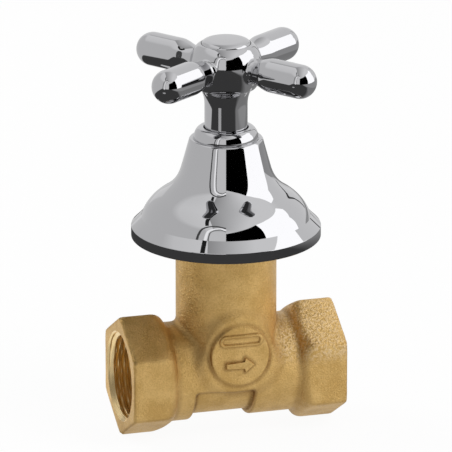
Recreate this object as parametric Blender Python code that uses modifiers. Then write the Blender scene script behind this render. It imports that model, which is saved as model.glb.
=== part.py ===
# Concealed stop valve: a forged brass tee body, a rising-spindle headwork, a chromed bell
# escutcheon and a cross handle. Metres, +Z up. The origin is where the port axis (X) crosses
# the spindle axis (Z). The inlet is at -X and the outlet at +X. The valve is modelled closed.

import math

import bmesh
import bpy
from mathutils import Matrix, Vector

# Clearances
GAP = 0.0003                  # between pieces that touch, screw together or turn
CUT = 0.002                   # how far a cutter runs past the face it opens
LAP = 0.0005                  # how far joined shapes reach into each other
GROOVE_LAP = 0.0002           # the same for the ports' thread, whose turns lie close together

# Forged body: ports and run
PORT_SPAN = 0.066             # from one port face to the other
HEX_FLATS = 0.0324            # across the flats of each port's hexagon
HEX_STRAIGHT = 0.0092         # length of hexagon with full corners
HEX_DOME = 0.0050             # length over which the corners fall away to the run
FACE_CHAMFER = 0.0007         # machined chamfer on the hexagon's outer corners
PORT_MINOR = 0.02412          # crests of the female G 3/4 thread
PORT_MAJOR = 0.02644          # its roots
PORT_PITCH = 0.001814
PORT_GROOVE = 0.00140         # width of the thread's groove at its crests
PORT_THREADED = 0.0110        # threaded length of each port
PORT_MOUTH = 0.0270           # countersink at the port face
PORT_DEPTH = 0.014
RUN_DIAMETER = 0.0296         # round run between the hexagons

# Forged body: tube, seat and waterway
TUBE_DIAMETER = 0.030
TUBE_BORE = 0.024
TUBE_TOP = 0.048              # machined top of the tube
TUBE_ROOT = 0.001             # where the tube rises from inside the run and the pads
SEAT_HEIGHT = 0.007           # top of the seat
SEAT_LIP = 0.002              # how far the seat stands above the chamber's floor
SEAT_BORE = 0.014
SEAT_LAND = 0.002             # width of the ring that the washer closes on
BRIDGE = 0.0026               # thickness of the bridge below the chamber
INLET_DUCT_WIDTH = 0.0165
INLET_DUCT_HEIGHT = 0.0135
OUTLET_DUCT_WIDTH = 0.0160
OUTLET_DUCT_HEIGHT = 0.0112
OUTLET_DUCT_RISE = 0.0063     # middle of the outlet duct above the port axis

# Forged body: pads and pocket left by the die
PAD_DIAMETER = 0.0176
PAD_RISE = 0.0067             # middle of the pads above the port axis
PAD_ACROSS = 0.0302           # from the front pad's face to the back pad's
POCKET_START = -0.0132        # relieved band below the pads, along the port axis
POCKET_END = 0.0050
POCKET_TOP = -0.0029
POCKET_DEPTH = 0.0017

# Drive thread of the spindle
LEAD = 0.002
DRIVE_MAJOR = 0.0120
DRIVE_DEPTH = 0.0011
RIDGE_ROOT = 0.00115          # width of the ridge at its root
RIDGE_CREST = 0.00060
FLANK_GAP = 0.0002            # axial clearance on each flank
LIFT = 0.005                  # travel from closed to fully open

# Jumper, seat washer and nut
WASHER_THICKNESS = 0.003
WASHER_OVERLAP = 0.0003       # how far the washer reaches past the seat's land
STUB_DIAMETER = 0.0044
STUB_PAST_NUT = 0.0007
PLATE_THICKNESS = 0.0006
PLATE_DIAMETER = 0.0092
NUT_FLATS = 0.0075
NUT_HEIGHT = 0.0024
JUMPER_DISC = 0.0020
JUMPER_SKIRT = 0.0014         # how far the cup reaches down round the washer
JUMPER_SKIRT_WALL = 0.0009
JUMPER_NECK = 0.0044
JUMPER_HEAD = 0.0064
JUMPER_HEAD_HEIGHT = 0.0026

# Spindle
SPINDLE_LIP = 0.0016          # rolled lip that holds the jumper's head
SPINDLE_THREAD_START = 0.0230
SPINDLE_THREAD_END = 0.0365
SHANK_DIAMETER = 0.0076
SPLINE_TEETH = 20
SPLINE_DEPTH = 0.00045
SPLINE_RELIEF = 0.0001        # how far the splines' tips lie below the shank
SPLINE_LENGTH = 0.0090
SPINDLE_TOP = 0.0880
SCREW_HOLE_DEPTH = 0.0100

# Bonnet
BONNET_FOOT = 0.0240
BONNET_NOSE = 0.0190          # diameter below the outer thread
BONNET_THREAD_START = 0.0350
BONNET_DRIVE_TOP = 0.0335     # top of the inner drive thread
DRIVE_RELIEF = 0.0006         # how far the bore above it clears the spindle's thread
FLANGE_REACH = 0.0025         # how far the flange reaches past the tube's bore
FLANGE_HEIGHT = 0.0018
GASKET_THICKNESS = 0.0012
BONNET_HEX_FLATS = 0.0240
BONNET_HEX_HEIGHT = 0.0050
BARREL_DIAMETER = 0.0180      # threaded barrel that carries the bell
BARREL_HEIGHT = 0.0056
SPIGOT_DIAMETER = 0.0132      # threaded spigot for the gland nut
SPIGOT_TOP = 0.0665
BOX_DIAMETER = 0.0106         # stuffing box
BOX_DEPTH = 0.0080

# Packing and gland nut
PACKING_WASHER = 0.0008
PACKING_RING = 0.0018         # height of one packing ring
PACKING_RINGS = 2
GLAND_FLANGE = 0.0008         # flange of the gland ring, under the nut's roof
GLAND_NUT_FLATS = 0.0162
GLAND_NUT_ROOF = 0.0017
GLAND_NUT_SKIRT = 0.0036      # how far the nut reaches down over the spigot

# Bell escutcheon: places on its outer side are a radius and a height above the rim
RIM_HEIGHT = 0.04135          # rim plane above the port axis
RIM_RADIUS = 0.02815
RIM_LIP = 0.0032
RIM_EDGE = 0.0003             # chamfer on the lip's top edge
DOME_FOOT = (0.0250, 0.0061)  # where the dome meets the rim's sloping top
DOME_FOOT_SLOPE = -0.40       # change of radius with height there
DOME_END = (0.0193, 0.0132)   # where the dome turns over into the flare
DOME_END_SLOPE = -1.55
WAIST = (0.01275, 0.0231)     # where the flare runs out into a straight taper
SHOULDER = (0.0110, 0.0294)
SHOULDER_ROUND = 0.0009
RING_RADIUS = 0.0096          # rounded ring round the handle's neck
RING_HEIGHT = 0.0035
BELL_HEIGHT = 0.0336
BELL_WALL = 0.0014
COLLAR_RISE = 0.0164          # threaded collar inside the bell, above the rim
COLLAR_HEIGHT = 0.0041
ROOF_RISE = 0.0288            # underside of the bell's top, above the rim
BUSH_WALL = 0.0008
BUSH_HEIGHT = 0.0026
RIM_GASKET_WIDTH = 0.0020
RIM_GASKET_HEIGHT = 0.0014

# Cross handle
REST_TURN = math.radians(35.8)  # first arm from the port axis, valve closed
ARM_COUNT = 4
ARM_DROP = 0.0002             # middle of the arms below the hub's widest part
ARM_REACH = 0.0323            # from the spindle axis to an arm's tip
ARM_DIAMETER = 0.0101
ARM_WAIST = 0.0074            # diameter where an arm leaves the hub
ARM_WAIST_AT = 0.0112
ARM_SWELL_END = 0.0176        # where an arm reaches its full diameter
HUB_RADIUS = 0.0108
HUB_RISE = 0.0128             # top of the hub above the spindle's end
HUB_CROWN = 0.0068            # height of the hub above its widest part
HUB_DEPTH = 0.0068            # height below it, to where the hub turns over into the flare
HUB_FLAT = 0.0064             # radius at which the hub's top turns over into its side
NECK_DIAMETER = 0.01276
NECK_CLEARANCE = 0.0004       # above the gland nut when the valve is closed
NECK_BORE = 0.0104
FLARE_HEIGHT = 0.0053         # height over which the neck flares out to the hub
FLARE_RADIUS = 0.0088         # where the flare meets the hub's underside
WEB_THICKNESS = 0.0028        # web that the handle screw clamps
WELL_DIAMETER = 0.0096        # well above the web, for the screw's head

# Handle screw and cap
SCREW_DIAMETER = 0.0038
SCREW_HEAD = 0.0070
SCREW_HEAD_HEIGHT = 0.0026
SCREW_HEAD_CROWN = 0.0008
SCREW_LENGTH = 0.0095
SLOT_WIDTH = 0.0009
SLOT_DEPTH = 0.0011
LOCK_WASHER_THICKNESS = 0.0006
LOCK_WASHER_DIAMETER = 0.0080
LOCK_WASHER_SPLIT = 0.0006
CAP_DIAMETER = 0.0146
CAP_THICKNESS = 0.0024
CAP_PLUG = 0.0026             # length of the plug that presses into the well
CAP_RISE = 0.00105            # how far the cap's crown stands above the hub
CAP_FLAT = 0.0048             # radius of the crown's flat top
CAP_FALL = 0.0015             # how far the crown falls away to the cap's upright edge

# Facets
ROUND_LARGE = 32
ROUND_SMALL = 20
ROUND_FINE = 16
DRIVE_STEPS = 12              # facets in each turn of the drive thread
MERGE = 0.00001
SHARP_ANGLE = math.radians(32)

# Heights along the spindle axis, from the seat upwards
CHAMBER_FLOOR = SEAT_HEIGHT - SEAT_LIP
INLET_DUCT_RISE = CHAMBER_FLOOR - BRIDGE - INLET_DUCT_HEIGHT / 2
WASHER_BOTTOM = SEAT_HEIGHT + GAP
WASHER_TOP = WASHER_BOTTOM + WASHER_THICKNESS
PLATE_TOP = WASHER_BOTTOM - GAP
PLATE_BOTTOM = PLATE_TOP - PLATE_THICKNESS
NUT_TOP = PLATE_BOTTOM - GAP
NUT_BOTTOM = NUT_TOP - NUT_HEIGHT
DISC_BOTTOM = WASHER_TOP + GAP
DISC_TOP = DISC_BOTTOM + JUMPER_DISC
SPINDLE_FOOT = DISC_TOP + GAP
SPINDLE_LIP_TOP = SPINDLE_FOOT + SPINDLE_LIP
HEAD_BOTTOM = SPINDLE_LIP_TOP + GAP
HEAD_TOP = HEAD_BOTTOM + JUMPER_HEAD_HEIGHT
BONNET_ROOF = SPINDLE_THREAD_END + LIFT + GAP
GASKET_BOTTOM = TUBE_TOP + GAP
GASKET_TOP = GASKET_BOTTOM + GASKET_THICKNESS
FLANGE_BOTTOM = GASKET_TOP + GAP
FLANGE_TOP = FLANGE_BOTTOM + FLANGE_HEIGHT
BONNET_HEX_TOP = FLANGE_TOP + BONNET_HEX_HEIGHT
BARREL_TOP = BONNET_HEX_TOP + BARREL_HEIGHT
BOX_FLOOR = SPIGOT_TOP - BOX_DEPTH
PACKING_BOTTOM = BOX_FLOOR + GAP + PACKING_WASHER + GAP
PACKING_TOP = PACKING_BOTTOM + PACKING_RINGS * (PACKING_RING + GAP)
GLAND_RING_TOP = SPIGOT_TOP + GAP + GLAND_FLANGE
GLAND_NUT_INSIDE = GLAND_RING_TOP + GAP
GLAND_NUT_TOP = GLAND_NUT_INSIDE + GLAND_NUT_ROOF
NECK_BOTTOM = GLAND_NUT_TOP + NECK_CLEARANCE
SPLINE_BOTTOM = SPINDLE_TOP - SPLINE_LENGTH
WEB_BOTTOM = SPINDLE_TOP + GAP
WEB_TOP = WEB_BOTTOM + WEB_THICKNESS
LOCK_WASHER_BOTTOM = WEB_TOP + GAP
LOCK_WASHER_TOP = LOCK_WASHER_BOTTOM + LOCK_WASHER_THICKNESS
SCREW_HEAD_BOTTOM = LOCK_WASHER_TOP + GAP
HUB_TOP = SPINDLE_TOP + HUB_RISE
HUB_MIDDLE = HUB_TOP - HUB_CROWN
HUB_UNDERSIDE = HUB_MIDDLE - HUB_DEPTH
FLARE_START = HUB_UNDERSIDE - FLARE_HEIGHT
ARM_HEIGHT = HUB_MIDDLE - ARM_DROP
CAP_TOP = HUB_TOP + CAP_RISE
CAP_BOTTOM = CAP_TOP - CAP_THICKNESS

# Radii and lengths that pieces share
HEX_CORNER = HEX_FLATS / math.sqrt(3)
PORT_FACE = PORT_SPAN / 2
BORE_END = PORT_FACE - PORT_DEPTH
SEAT_RADIUS = SEAT_BORE / 2 + SEAT_LAND
WASHER_RADIUS = SEAT_RADIUS + WASHER_OVERLAP
CORE_RADIUS = DRIVE_MAJOR / 2 - DRIVE_DEPTH
DRIVE_BORE = CORE_RADIUS + GAP
SHANK_RADIUS = SHANK_DIAMETER / 2
SHANK_BORE = SHANK_RADIUS + GAP
SCREW_BORE = SCREW_DIAMETER / 2 + GAP
FLANGE_RADIUS = TUBE_BORE / 2 + FLANGE_REACH
SPLINE_TIP = SHANK_RADIUS - SPLINE_RELIEF
NECK_RADIUS = NECK_DIAMETER / 2
NECK_HOLE = NECK_RADIUS + GAP

pieces = bpy.data.collections.new("concealed_stop_valve")
workings = bpy.data.collections.new("workings")


def clear_scene():
    for old in list(bpy.data.objects):
        bpy.data.objects.remove(old, do_unlink=True)
    bpy.context.scene.collection.children.link(pieces)
    bpy.context.scene.collection.children.link(workings)


def new_material(name, colour, roughness, metallic):
    made = bpy.data.materials.new(name)
    made.use_nodes = True
    shader = made.node_tree.nodes["Principled BSDF"]
    shader.inputs["Base Color"].default_value = (*colour, 1.0)
    shader.inputs["Roughness"].default_value = roughness
    shader.inputs["Metallic"].default_value = metallic
    made.diffuse_color = (*colour, 1.0)
    return made


def new_shape(name, bm):
    # Shapes start among the workings, and finish_piece moves the finished ones out.
    mesh = bpy.data.meshes.new(name)
    bm.to_mesh(mesh)
    bm.free()
    made = bpy.data.objects.new(name, mesh)
    made.hide_render = True
    made.display_type = "WIRE"
    workings.objects.link(made)
    return made


def turned(name, profile, segments=ROUND_LARGE, ring=False, turn=0.0):
    # A profile of (radius, height) turned about Z, which runs down its outer side. A ring's
    # profile closes on itself, and any other starts and ends on the axis. A turn of half a
    # facet keeps its edges from crossing those of a shape that it joins or cuts.
    bm = bmesh.new()
    across, aside = math.cos(turn), math.sin(turn)
    points = [bm.verts.new((radius * across, radius * aside, height)) for radius, height in profile]
    for upper, lower in zip(points, points[1:]):
        bm.edges.new((upper, lower))
    if ring:
        bm.edges.new((points[-1], points[0]))
    made = new_shape(name, bm)
    screw = made.modifiers.new("turn", "SCREW")
    screw.steps = segments
    screw.render_steps = segments
    screw.use_merge_vertices = True
    screw.merge_threshold = MERGE
    return made


def turned_ring(name, inner, outer, bottom, top, segments=ROUND_FINE):
    profile = [(inner, top), (outer, top), (outer, bottom), (inner, bottom)]
    return turned(name, profile, segments, ring=True)


def prism(name, radius, bottom, top, segments=6, turn=0.0):
    bm = bmesh.new()
    place = Matrix.Translation((0, 0, (bottom + top) / 2)) @ Matrix.Rotation(turn, 4, "Z")
    bmesh.ops.create_cone(bm, cap_ends=True, segments=segments, radius1=radius, radius2=radius,
                          depth=top - bottom, matrix=place)
    return new_shape(name, bm)


def block(name, low, high):
    bm = bmesh.new()
    low, high = Vector(low), Vector(high)
    place = Matrix.Translation((low + high) / 2) @ Matrix.Diagonal((*(high - low), 1))
    bmesh.ops.create_cube(bm, size=1, matrix=place)
    return new_shape(name, bm)


def half_facet(segments):
    return math.pi / segments


def arc(centre, radii, start, end, steps):
    # Points of (radius, height) along a round or oval arc, with angles in degrees.
    turns = [math.radians(start + (end - start) * i / steps) for i in range(steps + 1)]
    return [(centre[0] + radii[0] * math.cos(a), centre[1] + radii[1] * math.sin(a)) for a in turns]


def flowing(start, start_slope, end, end_slope, steps):
    # Points from start to end, without start, whose radius changes smoothly with height.
    rise = end[1] - start[1]
    points = []
    for i in range(1, steps + 1):
        t = i / steps
        radius = (start[0] * (1 + 2 * t) * (1 - t) ** 2 + rise * start_slope * t * (1 - t) ** 2
                  + end[0] * t ** 2 * (3 - 2 * t) - rise * end_slope * t ** 2 * (1 - t))
        points.append((radius, start[1] + rise * t))
    return points


def inset(outline, wall):
    # The outline of a wall's inner side: each point moved inwards, square to its two sides.
    normals = []
    for upper, lower in zip(outline, outline[1:]):
        along = Vector(lower) - Vector(upper)
        normals.append(Vector((along.y, -along.x)).normalized())
    before = [normals[0]] + normals
    after = normals + [normals[-1]]
    moves = [(a + b) * (wall / (1 + a.dot(b))) for a, b in zip(before, after)]
    return [(point[0] + move.x, point[1] + move.y) for point, move in zip(outline, moves)]


def radius_at(outline, height):
    for upper, lower in zip(outline, outline[1:]):
        if lower[1] <= height <= upper[1]:
            share = (upper[1] - height) / (upper[1] - lower[1])
            return upper[0] + (lower[0] - upper[0]) * share
    return outline[-1][0]


def trapezoid(inner, outer, root_width, crest_width):
    return [(inner, -root_width / 2), (outer, -crest_width / 2), (outer, crest_width / 2),
            (inner, root_width / 2)]


def helix(name, section, pitch, facets, bottom, top):
    # A closed right-hand helical ridge between two heights, from a section of (radius, height).
    bm = bmesh.new()
    first = bottom + pitch / 2
    points = [bm.verts.new((radius, 0, first + height)) for radius, height in section]
    for i, point in enumerate(points):
        bm.edges.new((point, points[(i + 1) % len(points)]))
    steps = int(((top - bottom) / pitch - 1) * facets)
    bmesh.ops.spin(bm, geom=bm.verts[:] + bm.edges[:], cent=(0, 0, 0), axis=(0, 0, 1),
                   dvec=(0, 0, pitch / facets), angle=steps * 2 * math.pi / facets,
                   steps=steps, use_merge=False, use_duplicate=False)
    bmesh.ops.holes_fill(bm, edges=[edge for edge in bm.edges if edge.is_boundary], sides=4)
    bmesh.ops.recalc_face_normals(bm, faces=bm.faces)
    return new_shape(name, bm)


def splined_bar(name, tip, bottom, top):
    # A bar with trapezoid teeth all round, drawn as one flat outline and extruded.
    root = tip - SPLINE_DEPTH
    bm = bmesh.new()
    outline = []
    for tooth in range(SPLINE_TEETH):
        for share, radius in ((0.0, root), (0.3, root), (0.5, tip), (0.8, tip)):
            angle = 2 * math.pi * (tooth + share) / SPLINE_TEETH
            outline.append(bm.verts.new((radius * math.cos(angle), radius * math.sin(angle), bottom)))
    bm.faces.new(outline)
    grown = bmesh.ops.extrude_face_region(bm, geom=bm.faces[:], use_keep_orig=True)
    raised = [item for item in grown["geom"] if isinstance(item, bmesh.types.BMVert)]
    bmesh.ops.translate(bm, verts=raised, vec=(0, 0, top - bottom))
    bmesh.ops.recalc_face_normals(bm, faces=bm.faces)
    return new_shape(name, bm)


def along_x(shape, side=1):
    # Lays a shape that was made along +Z along +X, or along -X where side is -1.
    shape.rotation_euler.y = math.copysign(math.pi / 2, side)
    return shape


def combine(target, operand, operation):
    step = target.modifiers.new(operand.name, "BOOLEAN")
    step.operation = operation
    step.solver = "EXACT"
    step.object = operand
    weld = target.modifiers.new("seam", "WELD")
    weld.merge_threshold = MERGE


def join(target, *operands):
    for operand in operands:
        combine(target, operand, "UNION")


def cut(target, *operands):
    for operand in operands:
        combine(target, operand, "DIFFERENCE")


def remove_operands(shape):
    for step in list(shape.modifiers):
        operand = step.object if step.type == "BOOLEAN" else None
        if operand:
            remove_operands(operand)
            bpy.data.objects.remove(operand, do_unlink=True)


def finish_piece(made, finish, carrier=None):
    # Applies the shape's steps, and shades it smooth between its sharp edges.
    graph = bpy.context.evaluated_depsgraph_get()
    mesh = bpy.data.meshes.new_from_object(made.evaluated_get(graph))
    remove_operands(made)
    made.modifiers.clear()
    made.data = mesh
    mesh.name = made.name
    mesh.shade_smooth()
    mesh.set_sharp_from_angle(angle=SHARP_ANGLE)
    mesh.materials.clear()
    mesh.materials.append(finish)
    workings.objects.unlink(made)
    pieces.objects.link(made)
    made.hide_render = False
    made.display_type = "TEXTURED"
    made.parent = carrier
    return made


def port_hexagon(side, label):
    # One port's hexagon, whose corners fall away in a dome towards the run.
    inside = RUN_DIAMETER / 2 - LAP
    fall = HEX_CORNER + LAP - inside
    inner_end = PORT_FACE - HEX_STRAIGHT - HEX_DOME
    steps = 4
    dome = [(0, PORT_FACE), (HEX_CORNER - FACE_CHAMFER, PORT_FACE),
            (HEX_CORNER + LAP, PORT_FACE - FACE_CHAMFER - LAP)]
    for i in range(steps + 1):
        share = i / steps
        dome.append((inside + fall * (1 - share ** 2), PORT_FACE - HEX_STRAIGHT - HEX_DOME * share))
    dome.append((0, inner_end))
    envelope = along_x(turned(f"{label}_hexagon_envelope", dome, turn=half_facet(ROUND_LARGE)), side)
    hexagon = prism(f"{label}_hexagon", HEX_CORNER, inner_end - CUT, PORT_FACE + CUT, turn=math.pi / 6)
    combine(along_x(hexagon, side), envelope, "INTERSECT")
    return hexagon


def port_bore(side, label):
    bore = PORT_MINOR / 2
    mouth = PORT_MOUTH / 2
    profile = [(0, PORT_FACE + CUT), (mouth + CUT, PORT_FACE + CUT),
               (bore, PORT_FACE - (mouth - bore)), (bore, BORE_END), (0, BORE_END - bore / 4)]
    return along_x(turned(f"{label}_bore", profile, ROUND_SMALL), side)


def port_thread(side, label):
    # The V of the thread's groove, which starts a little inside the bore so that it cuts clean.
    crest, root = PORT_MINOR / 2, PORT_MAJOR / 2
    start = crest - GROOVE_LAP
    width = PORT_GROOVE * (root - start) / (root - crest)
    section = [(start, -width / 2), (root, 0), (start, width / 2)]
    ridge = helix(f"{label}_thread", section, PORT_PITCH, ROUND_SMALL, PORT_FACE - PORT_THREADED,
                  PORT_FACE + PORT_PITCH)
    return along_x(ridge, side)


def inlet_duct():
    # An oval duct from the inlet bore to below the seat, with a rounded end.
    half = INLET_DUCT_WIDTH / 2
    profile = arc((0, LAP), (half, half), 90, 0, 6)
    profile += [(half, -BORE_END - CUT), (0, -BORE_END - CUT)]
    made = along_x(turned("inlet_duct", profile, ROUND_FINE))
    made.scale.x = INLET_DUCT_HEIGHT / INLET_DUCT_WIDTH
    made.location.z = INLET_DUCT_RISE
    return made


def outlet_duct():
    start = SEAT_RADIUS + LAP
    made = along_x(prism("outlet_duct", OUTLET_DUCT_WIDTH / 2, start, BORE_END + CUT, ROUND_FINE))
    made.scale.x = OUTLET_DUCT_HEIGHT / OUTLET_DUCT_WIDTH
    made.location.z = OUTLET_DUCT_RISE
    return made


def pads():
    # One disc through the body makes the flat pads on the front and the back.
    made = prism("pads", PAD_DIAMETER / 2, -PAD_ACROSS / 2, PAD_ACROSS / 2, ROUND_SMALL)
    made.rotation_euler.x = math.pi / 2
    made.location.z = PAD_RISE
    return made


def pocket():
    # The die leaves a shallower band round the bottom of the run.
    run = RUN_DIAMETER / 2
    band = turned_ring("pocket", run - POCKET_DEPTH, run + CUT, POCKET_START, POCKET_END, ROUND_LARGE)
    limit = block("pocket_limit", (POCKET_START - CUT, -RUN_DIAMETER, -RUN_DIAMETER),
                  (POCKET_END + CUT, RUN_DIAMETER, POCKET_TOP))
    combine(along_x(band), limit, "INTERSECT")
    return band


def make_valve_body(brass):
    run_end = PORT_FACE - HEX_STRAIGHT
    body = prism("valve_body", RUN_DIAMETER / 2, -run_end, run_end, ROUND_LARGE)
    body.data.transform(Matrix.Rotation(math.pi / 2, 4, "Y"))
    cut(body, pocket())
    tube = prism("tube", TUBE_DIAMETER / 2, TUBE_ROOT, TUBE_TOP, ROUND_LARGE, half_facet(ROUND_LARGE))
    join(body, tube, pads(), port_hexagon(-1, "inlet"), port_hexagon(1, "outlet"))
    chamber = turned("chamber", [
        (0, TUBE_TOP + CUT),
        (TUBE_BORE / 2, TUBE_TOP + CUT),
        (TUBE_BORE / 2, CHAMBER_FLOOR),
        (SEAT_RADIUS, CHAMBER_FLOOR),
        (SEAT_RADIUS, SEAT_HEIGHT),
        (0, SEAT_HEIGHT),
    ], turn=half_facet(ROUND_LARGE))
    seat_hole = prism("seat_hole", SEAT_BORE / 2, INLET_DUCT_RISE, SEAT_HEIGHT + CUT, ROUND_SMALL,
                      half_facet(ROUND_SMALL))
    for side, label in ((-1, "inlet"), (1, "outlet")):
        cut(body, port_bore(side, label), port_thread(side, label))
    cut(body, chamber, inlet_duct(), seat_hole, outlet_duct())
    finish_piece(body, brass)


def make_bonnet(brass):
    thread = TUBE_BORE / 2 - GAP
    made = turned("bonnet", [
        (0, SPIGOT_TOP),
        (SPIGOT_DIAMETER / 2, SPIGOT_TOP),
        (SPIGOT_DIAMETER / 2, BARREL_TOP),
        (BARREL_DIAMETER / 2, BARREL_TOP),
        (BARREL_DIAMETER / 2, FLANGE_TOP),
        (FLANGE_RADIUS, FLANGE_TOP),
        (FLANGE_RADIUS, FLANGE_BOTTOM),
        (thread, FLANGE_BOTTOM),
        (thread, BONNET_THREAD_START),
        (BONNET_NOSE / 2, BONNET_THREAD_START),
        (BONNET_NOSE / 2, BONNET_FOOT),
        (0, BONNET_FOOT),
    ], ROUND_SMALL)
    hexagon = prism("bonnet_hexagon", BONNET_HEX_FLATS / math.sqrt(3), FLANGE_TOP - LAP, BONNET_HEX_TOP)
    relief = DRIVE_MAJOR / 2 + DRIVE_RELIEF
    bore = turned("bonnet_bore", [
        (0, SPIGOT_TOP + CUT),
        (BOX_DIAMETER / 2, SPIGOT_TOP + CUT),
        (BOX_DIAMETER / 2, BOX_FLOOR),
        (SHANK_BORE, BOX_FLOOR),
        (SHANK_BORE, BONNET_ROOF),
        (relief, BONNET_ROOF),
        (relief, BONNET_DRIVE_TOP),
        (DRIVE_BORE, BONNET_DRIVE_TOP),
        (DRIVE_BORE, BONNET_FOOT - CUT),
        (0, BONNET_FOOT - CUT),
    ], ROUND_SMALL)
    section = trapezoid(CORE_RADIUS, DRIVE_MAJOR / 2 + GAP, RIDGE_ROOT + 2 * FLANK_GAP,
                        RIDGE_CREST + 2 * FLANK_GAP)
    groove = helix("drive_groove", section, LEAD, DRIVE_STEPS, SPINDLE_THREAD_START - LEAD,
                   BONNET_DRIVE_TOP + 2 * LEAD)
    groove.rotation_euler.z = REST_TURN
    join(made, hexagon)
    cut(made, bore, groove)
    finish_piece(made, brass)


def make_spindle(brass, carrier):
    neck = JUMPER_NECK / 2 + GAP
    socket = JUMPER_HEAD / 2 + GAP
    under_splines = SPLINE_TIP - SPLINE_DEPTH - SPLINE_RELIEF
    made = turned("spindle", [
        (0, SPINDLE_TOP),
        (under_splines, SPINDLE_TOP),
        (under_splines, SPLINE_BOTTOM),
        (SHANK_RADIUS, SPLINE_BOTTOM),
        (SHANK_RADIUS, SPINDLE_THREAD_END),
        (CORE_RADIUS, SPINDLE_THREAD_END),
        (CORE_RADIUS, SPINDLE_FOOT),
        (neck, SPINDLE_FOOT),
        (neck, SPINDLE_LIP_TOP),
        (socket, SPINDLE_LIP_TOP),
        (socket, HEAD_TOP + GAP),
        (0, HEAD_TOP + GAP),
    ], ROUND_SMALL)
    section = trapezoid(CORE_RADIUS - LAP, DRIVE_MAJOR / 2, RIDGE_ROOT, RIDGE_CREST)
    ridge = helix("drive_ridge", section, LEAD, DRIVE_STEPS, SPINDLE_THREAD_START, SPINDLE_THREAD_END)
    splines = splined_bar("spindle_splines", SPLINE_TIP, SPLINE_BOTTOM - LAP, SPINDLE_TOP)
    hole = prism("spindle_screw_hole", SCREW_BORE, SPINDLE_TOP - SCREW_HOLE_DEPTH, SPINDLE_TOP + CUT,
                 ROUND_FINE)
    join(made, ridge, splines)
    cut(made, hole)
    finish_piece(made, brass, carrier)


def make_jumper(brass):
    stub = STUB_DIAMETER / 2
    skirt = WASHER_RADIUS + GAP
    made = turned("jumper", [
        (0, HEAD_TOP),
        (JUMPER_HEAD / 2, HEAD_TOP),
        (JUMPER_HEAD / 2, HEAD_BOTTOM),
        (JUMPER_NECK / 2, HEAD_BOTTOM),
        (JUMPER_NECK / 2, DISC_TOP),
        (skirt + JUMPER_SKIRT_WALL, DISC_TOP),
        (skirt + JUMPER_SKIRT_WALL, DISC_BOTTOM - JUMPER_SKIRT),
        (skirt, DISC_BOTTOM - JUMPER_SKIRT),
        (skirt, DISC_BOTTOM),
        (stub, DISC_BOTTOM),
        (stub, NUT_BOTTOM - STUB_PAST_NUT),
        (0, NUT_BOTTOM - STUB_PAST_NUT),
    ], ROUND_SMALL)
    finish_piece(made, brass)


def make_jumper_fittings(brass, rubber):
    hole = STUB_DIAMETER / 2 + GAP
    washer = turned_ring("seat_washer", hole, WASHER_RADIUS, WASHER_BOTTOM, WASHER_TOP, ROUND_SMALL)
    finish_piece(washer, rubber)
    plate = turned_ring("washer_plate", hole, PLATE_DIAMETER / 2, PLATE_BOTTOM, PLATE_TOP)
    finish_piece(plate, brass)
    nut = prism("washer_nut", NUT_FLATS / math.sqrt(3), NUT_BOTTOM, NUT_TOP)
    cut(nut, prism("washer_nut_hole", hole, NUT_BOTTOM - CUT, NUT_TOP + CUT, ROUND_FINE))
    finish_piece(nut, brass)


def make_packing(brass, graphite):
    outer = BOX_DIAMETER / 2 - GAP
    bottom = BOX_FLOOR + GAP
    washer = turned_ring("packing_washer", SHANK_BORE, outer, bottom, bottom + PACKING_WASHER)
    finish_piece(washer, brass)
    for i in range(PACKING_RINGS):
        low = PACKING_BOTTOM + i * (PACKING_RING + GAP)
        seal = turned_ring(f"packing_ring_{i + 1}", SHANK_BORE, outer, low, low + PACKING_RING)
        finish_piece(seal, graphite)


def make_gland_ring(brass):
    inside = BOX_DIAMETER / 2 - GAP
    flange = SPIGOT_DIAMETER / 2 - GAP
    made = turned("gland_ring", [
        (SHANK_BORE, GLAND_RING_TOP),
        (flange, GLAND_RING_TOP),
        (flange, GLAND_RING_TOP - GLAND_FLANGE),
        (inside, GLAND_RING_TOP - GLAND_FLANGE),
        (inside, PACKING_TOP),
        (SHANK_BORE, PACKING_TOP),
    ], ROUND_FINE, ring=True)
    finish_piece(made, brass)


def make_gland_nut(brass):
    # The nut's corners are turned down to its flats at the top.
    flat = GLAND_NUT_FLATS / 2
    corner = GLAND_NUT_FLATS / math.sqrt(3)
    bottom = SPIGOT_TOP - GLAND_NUT_SKIRT
    made = prism("gland_nut", corner, bottom, GLAND_NUT_TOP + CUT)
    crown = turned("gland_nut_crown", [
        (0, GLAND_NUT_TOP),
        (flat, GLAND_NUT_TOP),
        (corner + LAP, GLAND_NUT_TOP - (corner + LAP - flat) / 2),
        (corner + LAP, bottom - CUT),
        (0, bottom - CUT),
    ], ROUND_SMALL)
    combine(made, crown, "INTERSECT")
    thread = SPIGOT_DIAMETER / 2 + GAP
    cut(made, turned("gland_nut_bore", [
        (0, GLAND_NUT_TOP + CUT),
        (SHANK_BORE, GLAND_NUT_TOP + CUT),
        (SHANK_BORE, GLAND_NUT_INSIDE),
        (thread, GLAND_NUT_INSIDE),
        (thread, bottom - CUT),
        (0, bottom - CUT),
    ], ROUND_SMALL))
    finish_piece(made, brass)


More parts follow.
